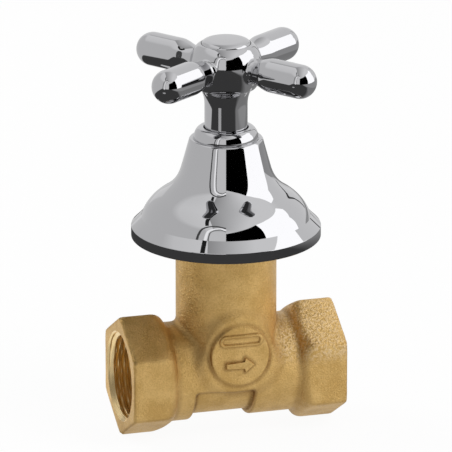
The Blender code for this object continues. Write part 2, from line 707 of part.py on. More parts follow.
def bell_outline():
    # The bell's outer side, from the foot of the ring at its top down to the rim.
    def above_rim(place):
        return (place[0], RIM_HEIGHT + place[1])

    shoulder = above_rim(SHOULDER)
    taper = (SHOULDER[0] - WAIST[0]) / (SHOULDER[1] - WAIST[1])
    rounding = (shoulder[0] - SHOULDER_ROUND, shoulder[1])
    lip = RIM_HEIGHT + RIM_LIP
    outline = arc(rounding, (SHOULDER_ROUND, SHOULDER_ROUND), 80, 5, 2)
    outline.append(above_rim(WAIST))
    outline += flowing(above_rim(WAIST), taper, above_rim(DOME_END), DOME_END_SLOPE, 4)
    outline += flowing(above_rim(DOME_END), DOME_END_SLOPE, above_rim(DOME_FOOT), DOME_FOOT_SLOPE, 5)
    outline += [(RIM_RADIUS - RIM_EDGE, lip), (RIM_RADIUS, lip - RIM_EDGE), (RIM_RADIUS, RIM_HEIGHT)]
    return outline


def make_bell(chrome):
    outline = bell_outline()
    inner = inset(outline, BELL_WALL)
    top = RIM_HEIGHT + BELL_HEIGHT
    roof = RIM_HEIGHT + ROOF_RISE
    collar_bottom = RIM_HEIGHT + COLLAR_RISE
    collar_top = collar_bottom + COLLAR_HEIGHT
    collar = BARREL_DIAMETER / 2 + GAP
    bush = NECK_HOLE + BUSH_WALL
    bush_top = roof + BUSH_HEIGHT + GAP
    crown = arc((NECK_HOLE + LAP, top - RING_HEIGHT), (RING_RADIUS - NECK_HOLE - LAP, RING_HEIGHT),
                90, 0, 4)
    lower_side = [point for point in inner if point[1] < collar_bottom]
    lower_side[-1] = (lower_side[-1][0], RIM_HEIGHT)
    upper_side = [point for point in inner if collar_top < point[1] < roof]
    profile = [(NECK_HOLE, top)] + crown + outline
    profile += reversed(lower_side)
    profile += [
        (radius_at(inner, collar_bottom), collar_bottom),
        (collar, collar_bottom),
        (collar, collar_top),
        (radius_at(inner, collar_top), collar_top),
    ]
    profile += reversed(upper_side)
    profile += [
        (radius_at(inner, roof), roof),
        (bush, roof),
        (bush, bush_top),
        (NECK_HOLE, bush_top),
    ]
    finish_piece(turned("bell_escutcheon", profile, ring=True), chrome)


def make_bell_fittings(rubber, nylon):
    roof = RIM_HEIGHT + ROOF_RISE
    outer = RIM_RADIUS - BELL_WALL - GAP
    gasket = turned_ring("rim_gasket", outer - RIM_GASKET_WIDTH, outer, RIM_HEIGHT,
                         RIM_HEIGHT + RIM_GASKET_HEIGHT, ROUND_LARGE)
    finish_piece(gasket, rubber)
    bush = turned_ring("neck_bush", NECK_HOLE, NECK_HOLE + BUSH_WALL - GAP, roof, roof + BUSH_HEIGHT,
                       ROUND_SMALL)
    finish_piece(bush, nylon)


def make_bonnet_gasket(fibre):
    gasket = turned_ring("bonnet_gasket", TUBE_BORE / 2, FLANGE_RADIUS, GASKET_BOTTOM, GASKET_TOP,
                         ROUND_SMALL)
    finish_piece(gasket, fibre)


def handle_arm(number):
    # An arm is waisted where it leaves the hub, and swells to a rounded end.
    thick = ARM_DIAMETER / 2
    waist = ARM_WAIST / 2
    root = WELL_DIAMETER / 2 - LAP
    straight_end = ARM_REACH - thick
    profile = arc((0, straight_end), (thick, thick), 90, 0, 4)
    for i in range(3):
        share = i / 3
        swell = (1 + math.cos(math.pi * share)) / 2
        profile.append((waist + (thick - waist) * swell,
                        ARM_SWELL_END + (ARM_WAIST_AT - ARM_SWELL_END) * share))
    profile += [(waist, ARM_WAIST_AT), (waist, root), (0, root)]
    made = turned(f"arm_{number}", profile, ROUND_FINE)
    made.rotation_euler = (0, math.pi / 2, 2 * math.pi * number / ARM_COUNT)
    made.location.z = ARM_HEIGHT
    return made


def make_cross_handle(chrome, carrier):
    swell = HUB_RADIUS - HUB_FLAT
    flare = FLARE_RADIUS - NECK_RADIUS
    # The underside's oval arc starts where it meets the flare.
    meeting = -math.degrees(math.acos((FLARE_RADIUS - HUB_FLAT) / swell))
    depth = HUB_DEPTH / math.sin(math.radians(-meeting))
    profile = [(0, HUB_TOP)]
    profile += arc((HUB_FLAT, HUB_MIDDLE), (swell, HUB_CROWN), 90, 0, 4)
    profile += arc((HUB_FLAT, HUB_MIDDLE), (swell, depth), 0, meeting, 3)[1:]
    profile += arc((FLARE_RADIUS, FLARE_START), (flare, FLARE_HEIGHT), 90, 180, 4)[1:]
    profile += [(NECK_RADIUS, NECK_BOTTOM), (0, NECK_BOTTOM)]
    made = turned("cross_handle", profile)
    cap = CAP_DIAMETER / 2 + GAP
    bore = turned("handle_bore", [
        (0, HUB_TOP + CUT),
        (cap, HUB_TOP + CUT),
        (cap, CAP_BOTTOM - GAP),
        (WELL_DIAMETER / 2, CAP_BOTTOM - GAP),
        (WELL_DIAMETER / 2, WEB_TOP),
        (SCREW_BORE, WEB_TOP),
        (SCREW_BORE, WEB_BOTTOM),
        (NECK_BORE / 2, WEB_BOTTOM),
        (NECK_BORE / 2, NECK_BOTTOM - CUT),
        (0, NECK_BOTTOM - CUT),
    ], ROUND_SMALL)
    join(made, *[handle_arm(number) for number in range(ARM_COUNT)])
    cut(made, bore)
    finish_piece(made, chrome, carrier)


def make_splined_insert(brass, carrier):
    # The brass insert pressed into the handle's neck takes the spindle's splines.
    made = prism("splined_insert", NECK_BORE / 2 - GAP, SPLINE_BOTTOM + GAP, SPINDLE_TOP, ROUND_FINE)
    cut(made, splined_bar("insert_splines", SHANK_BORE, SPLINE_BOTTOM - CUT, SPINDLE_TOP + CUT))
    finish_piece(made, brass, carrier)


def make_handle_screw(steel, carrier):
    shank = SCREW_DIAMETER / 2
    head = SCREW_HEAD / 2
    head_top = SCREW_HEAD_BOTTOM + SCREW_HEAD_HEIGHT
    tip = SCREW_HEAD_BOTTOM - SCREW_LENGTH
    made = turned("handle_screw", [
        (0, head_top),
        (head - SCREW_HEAD_CROWN, head_top),
        (head, head_top - SCREW_HEAD_CROWN),
        (head, SCREW_HEAD_BOTTOM),
        (shank, SCREW_HEAD_BOTTOM),
        (shank, tip + shank / 3),
        (shank * 2 / 3, tip),
        (0, tip),
    ], ROUND_FINE)
    cut(made, block("screw_slot", (-SCREW_HEAD, -SLOT_WIDTH / 2, head_top - SLOT_DEPTH),
                    (SCREW_HEAD, SLOT_WIDTH / 2, head_top + CUT)))
    finish_piece(made, steel, carrier)
    washer = turned_ring("lock_washer", SCREW_BORE, LOCK_WASHER_DIAMETER / 2, LOCK_WASHER_BOTTOM,
                         LOCK_WASHER_TOP)
    cut(washer, block("washer_split", (0, -LOCK_WASHER_SPLIT / 2, LOCK_WASHER_BOTTOM - CUT),
                      (LOCK_WASHER_DIAMETER, LOCK_WASHER_SPLIT / 2, LOCK_WASHER_TOP + CUT)))
    finish_piece(washer, steel, carrier)


def make_index_cap(chrome, carrier):
    plug = WELL_DIAMETER / 2 - GAP
    outer = CAP_DIAMETER / 2
    profile = [(0, CAP_TOP)]
    profile += arc((CAP_FLAT, CAP_TOP - CAP_FALL), (outer - CAP_FLAT, CAP_FALL), 90, 0, 4)
    profile += [(outer, CAP_BOTTOM), (plug, CAP_BOTTOM), (plug, CAP_BOTTOM - CAP_PLUG),
                (0, CAP_BOTTOM - CAP_PLUG)]
    finish_piece(turned("index_cap", profile, ROUND_SMALL), chrome, carrier)


def main():
    clear_scene()
    forged = new_material("sandblasted_brass", (0.55, 0.36, 0.13), 0.45, 1.0)
    turned_brass = new_material("turned_brass", (0.72, 0.50, 0.20), 0.25, 1.0)
    chrome = new_material("polished_chrome", (0.86, 0.86, 0.88), 0.05, 1.0)
    steel = new_material("stainless_steel", (0.60, 0.60, 0.60), 0.30, 1.0)
    rubber = new_material("black_rubber", (0.02, 0.02, 0.02), 0.70, 0.0)
    graphite = new_material("graphite_packing", (0.08, 0.08, 0.09), 0.55, 0.0)
    nylon = new_material("grey_nylon", (0.25, 0.25, 0.26), 0.45, 0.0)
    fibre = new_material("red_fibre", (0.35, 0.08, 0.05), 0.80, 0.0)
    spindle_axis = bpy.data.objects.new("spindle_axis", None)
    spindle_axis.rotation_euler.z = REST_TURN
    workings.objects.link(spindle_axis)

    make_valve_body(forged)
    make_bonnet_gasket(fibre)
    make_bonnet(turned_brass)
    make_packing(turned_brass, graphite)
    make_gland_ring(turned_brass)
    make_gland_nut(turned_brass)
    make_bell(chrome)
    make_bell_fittings(rubber, nylon)
    make_jumper(turned_brass)
    make_jumper_fittings(turned_brass, rubber)
    make_spindle(turned_brass, spindle_axis)
    make_splined_insert(turned_brass, spindle_axis)
    make_cross_handle(chrome, spindle_axis)
    make_handle_screw(steel, spindle_axis)
    make_index_cap(chrome, spindle_axis)


main()
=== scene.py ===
# Concealed stop valve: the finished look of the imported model. Forms are worked out in
# millimetres in the part's own frame, with X along the ports and Z up the spindle.

import math

import bmesh
import bpy
import numpy as np
from mathutils import Matrix, Vector


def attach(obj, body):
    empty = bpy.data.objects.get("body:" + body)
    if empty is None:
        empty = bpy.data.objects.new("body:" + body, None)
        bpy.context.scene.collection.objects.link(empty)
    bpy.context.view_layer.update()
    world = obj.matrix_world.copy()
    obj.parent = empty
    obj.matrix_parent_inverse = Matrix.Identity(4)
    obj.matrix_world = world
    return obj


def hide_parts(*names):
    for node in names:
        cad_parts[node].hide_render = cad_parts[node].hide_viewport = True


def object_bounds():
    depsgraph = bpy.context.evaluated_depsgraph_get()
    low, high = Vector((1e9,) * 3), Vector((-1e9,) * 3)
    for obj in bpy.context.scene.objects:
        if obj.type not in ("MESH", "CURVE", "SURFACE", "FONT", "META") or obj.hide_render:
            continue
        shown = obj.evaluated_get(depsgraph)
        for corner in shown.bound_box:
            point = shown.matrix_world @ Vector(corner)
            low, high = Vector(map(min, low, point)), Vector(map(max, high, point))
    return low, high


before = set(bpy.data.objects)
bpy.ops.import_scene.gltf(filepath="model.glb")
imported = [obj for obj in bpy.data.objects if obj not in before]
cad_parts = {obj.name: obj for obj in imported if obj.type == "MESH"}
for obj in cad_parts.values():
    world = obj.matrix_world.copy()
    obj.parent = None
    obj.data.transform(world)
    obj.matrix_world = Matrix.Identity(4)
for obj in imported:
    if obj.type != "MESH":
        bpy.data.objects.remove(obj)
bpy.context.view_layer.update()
scene = bpy.context.scene
mm = 0.001  # one millimetre in Blender's metres


# Meshes and outlines

def newObject(name, bm, finish):
    mesh = bpy.data.meshes.new(name)
    bm.to_mesh(mesh)
    bm.free()
    mesh.materials.append(finish)
    made = bpy.data.objects.new(name, mesh)
    scene.collection.objects.link(made)
    return made


def applySteps(made):
    graph = bpy.context.evaluated_depsgraph_get()
    mesh = bpy.data.meshes.new_from_object(made.evaluated_get(graph))
    made.modifiers.clear()
    made.data = mesh
    return made


def shade(made, angle=35):
    made.data.shade_smooth()
    made.data.set_sharp_from_angle(angle=math.radians(angle))


def arc(centre, radii, start, end, steps):
    turns = [math.radians(start + (end - start) * i / steps) for i in range(steps + 1)]
    return [(centre[0] + radii[0] * math.cos(a), centre[1] + radii[1] * math.sin(a)) for a in turns]


def flowing(start, startSlope, end, endSlope, steps):
    # Points from start to end, without start, whose radius changes smoothly with height.
    rise = end[1] - start[1]
    points = []
    for i in range(1, steps + 1):
        t = i / steps
        radius = (start[0] * (1 + 2 * t) * (1 - t) ** 2 + rise * startSlope * t * (1 - t) ** 2
                  + end[0] * t ** 2 * (3 - 2 * t) - rise * endSlope * t ** 2 * (1 - t))
        points.append((radius, start[1] + rise * t))
    return points


def spun(name, outline, finish, steps=192, closed=False):
    # An outline of (radius, height) turned about Z. A closed one is a ring's section.
    bm = bmesh.new()
    points = [bm.verts.new((radius * mm, 0, height * mm)) for radius, height in outline]
    for upper, lower in zip(points, points[1:]):
        bm.edges.new((upper, lower))
    if closed:
        bm.edges.new((points[-1], points[0]))
    bmesh.ops.spin(bm, geom=bm.verts[:] + bm.edges[:], cent=(0, 0, 0), axis=(0, 0, 1),
                   angle=2 * math.pi, steps=steps, use_merge=True)
    bmesh.ops.remove_doubles(bm, verts=bm.verts, dist=1e-7)
    bmesh.ops.recalc_face_normals(bm, faces=bm.faces)
    return newObject(name, bm, finish)


def cylinder(bm, radius, low, high, axis="Z", segments=96, centre=(0, 0, 0)):
    turn = {"X": Matrix.Rotation(math.pi / 2, 4, "Y"), "Y": Matrix.Rotation(-math.pi / 2, 4, "X"),
            "Z": Matrix.Identity(4)}[axis]
    place = (Matrix.Translation(Vector(centre) * mm) @ turn
             @ Matrix.Translation((0, 0, (low + high) / 2 * mm)))
    bmesh.ops.create_cone(bm, cap_ends=True, segments=segments, radius1=radius * mm,
                          radius2=radius * mm, depth=(high - low) * mm, matrix=place)


def carve(target, *tools):
    for tool in tools:
        step = target.modifiers.new(tool.name, "BOOLEAN")
        step.operation = "DIFFERENCE"
        step.solver = "MANIFOLD"
        step.material_mode = "TRANSFER"
        step.object = tool
    applySteps(target)
    for tool in tools:
        bpy.data.objects.remove(tool)


# Soft forms: a rough mesh is drawn onto the surface where a distance field is zero

def softMin(first, second, reach):
    near = np.maximum(reach - np.abs(first - second), 0)
    return np.minimum(first, second) - near ** 2 / (4 * np.maximum(reach, 1e-6))


def softMax(first, second, reach):
    return -softMin(-first, -second, reach)


def slopes(field, points, step=0.02):
    sides = [field(points + step * axis) - field(points - step * axis) for axis in np.eye(3)]
    return np.stack(sides, axis=1) / (2 * step)


furthest = 0.8  # that a point is moved in one round


def drawOnto(made, field, rounds):
    mesh = made.data
    places = np.empty(len(mesh.vertices) * 3)
    mesh.vertices.foreach_get("co", places)
    places = places.reshape(-1, 3) / mm
    for _ in range(rounds):
        away = field(places)
        slope = slopes(field, places)
        size = np.maximum((slope ** 2).sum(axis=1), 0.05)
        move = np.clip(away / size, -furthest, furthest)
        places -= move[:, None] * slope
    mesh.vertices.foreach_set("co", (places * mm).ravel())
    mesh.update()
    return places


def evened(made, voxel):
    step = made.modifiers.new("even", "REMESH")
    step.mode = "VOXEL"
    step.voxel_size = voxel * mm
    return applySteps(made)


def grownForm(made, field, voxel, rounds=6):
    for _ in range(2):
        evened(made, voxel)
        places = drawOnto(made, field, rounds)
    return places


def outlineDistance(radius, height, outline):
    # Signed distance to a turned shape whose outline runs from axis to axis.
    best = np.full(radius.shape, 1e9)
    inside = np.zeros(radius.shape, bool)
    for (r0, z0), (r1, z1) in zip(outline, outline[1:]):
        across, rise = r1 - r0, z1 - z0
        share = (radius - r0) * across + (height - z0) * rise
        share = np.clip(share / max(across ** 2 + rise ** 2, 1e-12), 0, 1)
        best = np.minimum(best, np.hypot(radius - r0 - share * across, height - z0 - share * rise))
        if rise:
            level = (z0 > height) != (z1 > height)
            inside ^= level & (radius < r0 + (height - z0) * across / rise)
    return np.where(inside, -best, best)


# Finishes

def addNode(tree, kind, inputs=None, **settings):
    node = tree.nodes.new(kind)
    for name, value in settings.items():
        setattr(node, name, value)
    for socket, value in (inputs or {}).items():
        if isinstance(value, bpy.types.NodeSocket):
            tree.links.new(value, node.inputs[socket])
        else:
            node.inputs[socket].default_value = value
    return node


def newFinish(name, colour, roughness, metallic):
    finish = bpy.data.materials.new(name)
    finish.use_nodes = True
    shader = finish.node_tree.nodes["Principled BSDF"]
    shader.inputs["Base Color"].default_value = (*colour, 1)
    shader.inputs["Roughness"].default_value = roughness
    shader.inputs["Metallic"].default_value = metallic
    finish.diffuse_color = (*colour, 1)
    return finish, finish.node_tree, shader


def objectPlace(tree, stretch=(1, 1, 1), turn=(0, 0, 0)):
    # A small stretch draws a pattern out along that axis, and the turn lays it aslant.
    coords = addNode(tree, "ShaderNodeTexCoord").outputs["Object"]
    inputs = {"Vector": coords, "Scale": stretch, "Rotation": [math.radians(a) for a in turn]}
    return addNode(tree, "ShaderNodeMapping", inputs).outputs[0]


def attribute(tree, name):
    return addNode(tree, "ShaderNodeAttribute", attribute_name=name).outputs["Fac"]


def noise(tree, place, size, detail=2.0, roughness=0.5):
    # Noise whose features are about size millimetres across.
    inputs = {"Vector": place, "Scale": 1 / (size * mm), "Detail": detail,
              "Roughness": roughness}
    return addNode(tree, "ShaderNodeTexNoise", inputs).outputs[0]


def spread(tree, value, low, high, newLow, newHigh):
    return addNode(tree, "ShaderNodeMapRange", {"Value": value, "From Min": low, "From Max": high,
                                                "To Min": newLow, "To Max": newHigh}).outputs[0]


def mixed(tree, share, first, second):
    # A mix of colours
    inputs = {0: share, 6: first, 7: second}
    return addNode(tree, "ShaderNodeMix", inputs, data_type="RGBA").outputs[2]


def blended(tree, share, first, second):
    # A mix of plain values
    return addNode(tree, "ShaderNodeMix", {0: share, 2: first, 3: second}).outputs[0]


def maths(tree, operation, first, second):
    return addNode(tree, "ShaderNodeMath", {0: first, 1: second}, operation=operation).outputs[0]


def bump(tree, height, depth, strength=1.0, under=None):
    # Depth is in millimetres.
    inputs = {"Height": height, "Distance": depth * mm, "Strength": strength}
    if under:
        inputs["Normal"] = under
    return addNode(tree, "ShaderNodeBump", inputs).outputs[0]


noiseRange = (0.3, 0.7)  # where most of a noise's values lie

forgedLook = {
    "light": (0.78, 0.52, 0.20),
    "middle": (0.62, 0.39, 0.13),
    "dark": (0.27, 0.14, 0.045),    # painted shade in the creases, and painted shadow beside the marks
    "pale": (0.86, 0.66, 0.40),     # painted glints on the tops of the pebbles on the coarse skin
    "paleRange": (0.42, 0.62),
    "paleMost": 0.6,
    "roughness": (0.34, 0.50),
    "grainSize": 0.48,
    "grainDepth": 0.25,
    "patchSize": 7.0,
    "patchShare": 0.55,             # of the tone, and the rest is the grain's
    "toneRange": (0.41, 0.59),
    "pebbleSize": 0.75,
    "pebbleDepth": 0.05,
    "coarseDepth": 0.26,
    "scarStretch": (0.35, 1, 1.3),
    "scarTurn": (0, 35, 0),
    "scarSize": 0.9,
    "scarRange": (0.56, 0.70),
    "scarDepth": 0.22,
}


def sandblastedBrass():
    look = forgedLook
    finish, tree, shader = newFinish("sandblastedBrass", look["middle"], look["roughness"][0], 1)
    place = objectPlace(tree)
    grain = noise(tree, place, look["grainSize"], 3, 0.6)
    pebble = noise(tree, place, look["pebbleSize"], 2, 0.5)
    patch = noise(tree, place, look["patchSize"], 3, 0.6)
    tone = maths(tree, "ADD", maths(tree, "MULTIPLY", patch, look["patchShare"]),
                 maths(tree, "MULTIPLY", grain, 1 - look["patchShare"]))
    tone = spread(tree, tone, *look["toneRange"], 0, 1)
    base = mixed(tree, tone, (*look["middle"], 1), (*look["light"], 1))
    # The coarse skin to the upper right is bumpier, and its pebble tops get painted glints
    coarseAndGlints = attribute(tree, "coarseAndGlints")
    pale = spread(tree, pebble, *look["paleRange"], 0, look["paleMost"])
    base = mixed(tree, maths(tree, "MULTIPLY", coarseAndGlints, pale), base, (*look["pale"], 1))
    # Painted shade: the creases, and the ground beside the marks, are darkened
    base = mixed(tree, attribute(tree, "creaseShade"), base, (*look["dark"], 1))
    tree.links.new(base, shader.inputs["Base Color"])
    rough = spread(tree, pebble, *noiseRange, *look["roughness"])
    tree.links.new(rough, shader.inputs["Roughness"])
    depth = spread(tree, coarseAndGlints, 0, 1, look["pebbleDepth"], look["coarseDepth"])
    under = bump(tree, maths(tree, "MULTIPLY", pebble, depth), 1.0)
    scars = objectPlace(tree, look["scarStretch"], look["scarTurn"])
    scars = spread(tree, noise(tree, scars, look["scarSize"], 1, 0.4), *look["scarRange"], 0, 1)
    scars = maths(tree, "MULTIPLY", scars, attribute(tree, "worn"))
    under = bump(tree, scars, look["scarDepth"], under=under)
    tree.links.new(bump(tree, grain, look["grainDepth"], under=under), shader.inputs["Normal"])
    return finish


turnedLook = {
    "light": (0.94, 0.74, 0.42),
    "dark": (0.80, 0.57, 0.25),
    "roughness": (0.22, 0.34),
    "lineSize": 0.25,
    "lineDepth": 0.002,
    "patchSize": 4.0,
}


def turnedBrass(name, stretch):
    # Fine tool lines run round the one axis that isn't drawn out.
    look = turnedLook
    finish, tree, shader = newFinish(name, look["dark"], look["roughness"][0], 1)
    place = objectPlace(tree, stretch)
    lines = noise(tree, place, look["lineSize"], 2, 0.6)
    patch = noise(tree, objectPlace(tree), look["patchSize"], 2, 0.5)
    tree.links.new(mixed(tree, patch, (*look["dark"], 1), (*look["light"], 1)),
                   shader.inputs["Base Color"])
    tree.links.new(spread(tree, lines, *noiseRange, *look["roughness"]),
                   shader.inputs["Roughness"])
    tree.links.new(bump(tree, lines, look["lineDepth"]), shader.inputs["Normal"])
    return finish


chromeLook = {
    "colour": (0.56, 0.56, 0.575),
    "roughness": (0.015, 0.05),
    "hazeSize": 9.0,
    "rippleSize": 5.0,
    "rippleDepth": 0.0006,
}


def polishedChrome():
    look = chromeLook
    finish, tree, shader = newFinish("polishedChrome", look["colour"], look["roughness"][0], 1)
    place = objectPlace(tree)
    haze = noise(tree, place, look["hazeSize"], 4, 0.55)
    tree.links.new(spread(tree, haze, 0.35, 0.75, *look["roughness"]), shader.inputs["Roughness"])
    ripple = noise(tree, place, look["rippleSize"], 1)
    tree.links.new(bump(tree, ripple, look["rippleDepth"]), shader.inputs["Normal"])
    return finish


plainLooks = {  # colour, second colour, roughness, metallic, grain's size and depth
    "stainlessSteel": ((0.50, 0.50, 0.49), (0.62, 0.61, 0.60), 0.28, 1, 0.3, 0.003),
    "blackRubber": ((0.012, 0.012, 0.013), (0.03, 0.03, 0.032), 0.6, 0, 0.4, 0.02),
    "graphitePacking": ((0.05, 0.05, 0.055), (0.10, 0.10, 0.11), 0.5, 0, 0.5, 0.03),
    "greyNylon": ((0.20, 0.20, 0.21), (0.27, 0.27, 0.28), 0.4, 0, 0.8, 0.01),
    "redFibre": ((0.30, 0.06, 0.04), (0.42, 0.10, 0.06), 0.75, 0, 0.3, 0.03),
}


def plainFinish(name, colour, second, roughness, metallic, size, depth):
    finish, tree, shader = newFinish(name, colour, roughness, metallic)
    grain = noise(tree, objectPlace(tree), size, 3, 0.6)
    tree.links.new(mixed(tree, grain, (*colour, 1), (*second, 1)), shader.inputs["Base Color"])
    tree.links.new(spread(tree, grain, *noiseRange, roughness, roughness + 0.12),
                   shader.inputs["Roughness"])
    tree.links.new(bump(tree, grain, depth), shader.inputs["Normal"])
    return finish


forged = sandblastedBrass()
portTurned = turnedBrass("portBrass", (1, 0.02, 0.02))
spindleTurned = turnedBrass("turnedBrass", (0.02, 0.02, 1))
chrome = polishedChrome()
steel, rubber, graphite, nylon, fibre = [plainFinish(name, *look)
                                         for name, look in plainLooks.items()]
print("finishes made")


# Forged body

bodyForm = {
    "faceAt": 33.0,
    "halfFlats": 16.2,
    "hexagonEdge": 0.6,
    "hexagonBlend": 0.8,
    "faceBevel": (0.7, 0.3, 0.8),       # slope, distance outside the corners, softness
    "faceEdge": 0.7,
    "domeCrown": 1.0,
    "domeInset": 0.5,
    "domeBlend": 2.0,
    "cornersFrom": 23.8,
    "domeLength": 5.0,
    "runRadius": 14.8,
    "runEnd": 26.0,                     # inside the hexagons
    "tubeRadius": 15.0,
    "tubeTop": 48.0,
    "tubeFoot": 5.0,
    "fillet": 1.9,
    "edge": 0.5,
    "padRadius": 9.0,
    "padRise": 8.2,
    "padFace": 15.36,
    "padBlend": 0.8,
    "padFoot": (10.6, 13.2, 2.0, 4.0),  # radius, face, its edge, reach of the blend
    "pocket": (-13.2, 5.0, -2.9, 1.7),  # from and to along the run, top, depth
    "pocketBlends": (1.0, 0.6, 0.9),    # its sides, its floor, its rim
    "voxel": 0.46,
}


def hexagonField(along, y, z):
    form = bodyForm
    slant = math.sqrt(3) / 2
    edge = form["hexagonEdge"]
    sides = [np.abs(y), np.abs(y / 2 + z * slant), np.abs(y / 2 - z * slant)]
    shape = softMax(softMax(sides[0], sides[1], edge), sides[2], edge) - form["halfFlats"]
    corner = form["halfFlats"] / slant
    inner = form["runRadius"] - form["domeInset"]
    crown = corner + form["domeCrown"]
    share = np.maximum(form["cornersFrom"] - along, 0) / form["domeLength"]
    limit = inner + (crown - inner) * (1 - share ** 2)
    steep = 2 * (crown - inner) * share / form["domeLength"]
    dome = (np.hypot(y, z) - limit) / np.sqrt(1 + steep ** 2)
    hexagon = softMax(shape, dome, form["domeBlend"])
    slope, outside, reach = form["faceBevel"]
    bevel = (form["faceAt"] + corner - along - np.hypot(y, z)) * -slope - outside
    hexagon = softMax(hexagon, bevel, reach)
    hexagon = softMax(hexagon, along - form["faceAt"], form["faceEdge"])
    return hexagon, np.clip(share, 0, 1)


def bodyField(points):
    form = bodyForm
    x, y, z = points.T
    aroundX = np.maximum(np.hypot(y, z), 1e-6)
    aroundZ = np.maximum(np.hypot(x, y), 1e-6)
    edge = form["edge"]
    run = softMax(aroundX - form["runRadius"], np.abs(x) - form["runEnd"], edge)
    low, high, top, depth = form["pocket"]
    sides, floor, rim = form["pocketBlends"]
    pocket = softMax(softMax(low - x, x - high, sides), z - top, sides)
    pocket = softMax(pocket, form["runRadius"] - depth - aroundX, floor)
    run = softMax(run, -pocket, rim)
    tube = softMax(aroundZ - form["tubeRadius"], z - form["tubeTop"], edge)
    tube = softMax(tube, -z, form["tubeFoot"])
    apart = 1 - y ** 2 / (aroundX * aroundZ)
    body = softMin(run, tube, form["fillet"] * np.clip(apart, 0, 1))
    fromPad = np.hypot(x, z - form["padRise"])
    foot, footFace, footEdge, reach = form["padFoot"]
    body = softMin(body, softMax(fromPad - foot, np.abs(y) - footFace, footEdge), reach)
    pad = softMax(fromPad - form["padRadius"], np.abs(y) - form["padFace"], edge)
    body = softMin(body, pad, form["padBlend"])
    for side in (-1, 1):
        hexagon, share = hexagonField(side * x, y, z)
        body = softMin(body, hexagon, form["hexagonBlend"] * share)
    return body


def roughBody():
    # Plain cylinders that the field then shapes
    form = bodyForm
    bm = bmesh.new()
    cylinder(bm, form["runRadius"], -form["runEnd"], form["runEnd"], "X")
    cylinder(bm, form["tubeRadius"], 1, form["tubeTop"])
    cylinder(bm, form["padRadius"], -form["padFace"], form["padFace"], "Y",
             centre=(0, 0, form["padRise"]))
    corner = form["halfFlats"] / math.cos(math.pi / 6)
    for side in (-1, 1):
        far, near = side * form["faceAt"], side * (form["cornersFrom"] - 2)
        cylinder(bm, corner - 0.4, min(far, near), max(far, near), "X", 6)
    bmesh.ops.recalc_face_normals(bm, faces=bm.faces)
    return newObject("forgedBody", bm, forged)


portForm = {
    "crest": 12.06,
    "root": 13.18,
    "pitch": 1.814,
    "steepness": 1.45,
    "mouth": 13.6,
    "depth": 14.0,
    "runOut": (0.6, 2.0),   # distance from the thread's end, length
    "start": -1.0,          # outside the face
    "drillPoint": 3.0,
    "rows": 108,
    "steps": 108,
}


def threadRadius(depth, turn):
    # Radius of the port's thread at a depth below the face, with rounded roots and crests.
    form = portForm
    wave = 0.5 + 0.5 * np.cos(2 * math.pi * (depth / form["pitch"] - turn / (2 * math.pi)))
    wave = np.clip((wave - 0.5) * form["steepness"] + 0.5, 0, 1)
    ending, length = form["runOut"]
    fade = np.clip((form["depth"] - ending - depth) / length, 0, 1)
    cut = form["crest"] + (form["root"] - form["crest"]) * wave * fade
    return np.maximum(cut, form["mouth"] - np.maximum(depth, form["start"]))


def portTool(side):
    form = portForm
    bm = bmesh.new()
    rows, start = form["rows"], form["start"]
    spacing = (form["depth"] - start) / rows
    outline = [bm.verts.new((0, 0, start * mm))]
    outline += [bm.verts.new((form["crest"] * mm, 0, (start + spacing * i) * mm))
                for i in range(rows + 1)]
    outline.append(bm.verts.new((0, 0, (form["depth"] + form["drillPoint"]) * mm)))
    for upper, lower in zip(outline, outline[1:]):
        bm.edges.new((upper, lower))
    bmesh.ops.spin(bm, geom=bm.verts[:] + bm.edges[:], cent=(0, 0, 0), axis=(0, 0, 1),
                   angle=2 * math.pi, steps=form["steps"], use_merge=True)
    bmesh.ops.remove_doubles(bm, verts=bm.verts, dist=1e-7)
    for point in bm.verts:
        radius = math.hypot(point.co.x, point.co.y)
        if radius > mm:
            turn = math.atan2(point.co.y, point.co.x)
            grown = float(threadRadius(np.array(point.co.z / mm), turn)) * mm
            point.co.x *= grown / radius
            point.co.y *= grown / radius
    place = (Matrix.Translation((side * bodyForm["faceAt"] * mm, 0, 0))
             @ Matrix.Rotation(-side * math.pi / 2, 4, "Y"))
    bmesh.ops.transform(bm, matrix=place, verts=bm.verts)
    bmesh.ops.recalc_face_normals(bm, faces=bm.faces)
    return newObject(f"portTool{side}", bm, portTurned)


waterway = {
    "bore": 12.0,
    "floor": 5.0,
    "seatTop": 7.0,
    "seatHole": 7.0,
    "seatLand": 9.0,
    "inletDuct": (8.25, 6.75, -4.35),   # half its width, half its height, rise
    "outletDuct": (8.0, 5.6, 6.3),
    "ductStart": 0.5,                   # outside the seat's ring
    "ductEnd": 20.5,                    # inside the port
    "past": 2.0,                        # how far a tool reaches out of the metal
    "voxel": 0.4,
}


def squash(bm, across, tall, rise):
    place = Matrix.Translation((0, 0, rise * mm)) @ Matrix.Diagonal((1, 1, tall / across, 1))
    bmesh.ops.transform(bm, matrix=place, verts=bm.verts)


def waterwayTools():
    way = waterway
    top = bodyForm["tubeTop"] + way["past"]
    chamber = [(0, top), (way["bore"], top), (way["bore"], way["floor"]),
               (way["seatLand"], way["floor"]), (way["seatLand"], way["seatTop"]),
               (0, way["seatTop"])]
    tools = [spun("chamberTool", chamber, spindleTurned, 96)]
    bm = bmesh.new()
    cylinder(bm, way["seatHole"], way["inletDuct"][2], way["seatTop"] + way["past"], segments=72)
    tools.append(newObject("seatTool", bm, spindleTurned))
    bm = bmesh.new()
    across = way["inletDuct"][0]
    bmesh.ops.create_uvsphere(bm, u_segments=48, v_segments=24, radius=across * mm)
    cylinder(bm, across, -way["ductEnd"], 0, "X", 48)
    squash(bm, *way["inletDuct"])
    tools.append(evened(newObject("inletTool", bm, forged), way["voxel"]))
    bm = bmesh.new()
    start = way["seatLand"] + way["ductStart"]
    cylinder(bm, way["outletDuct"][0], start, way["ductEnd"], "X", 48)
    squash(bm, *way["outletDuct"])
    tools.append(newObject("outletTool", bm, forged))
    return tools


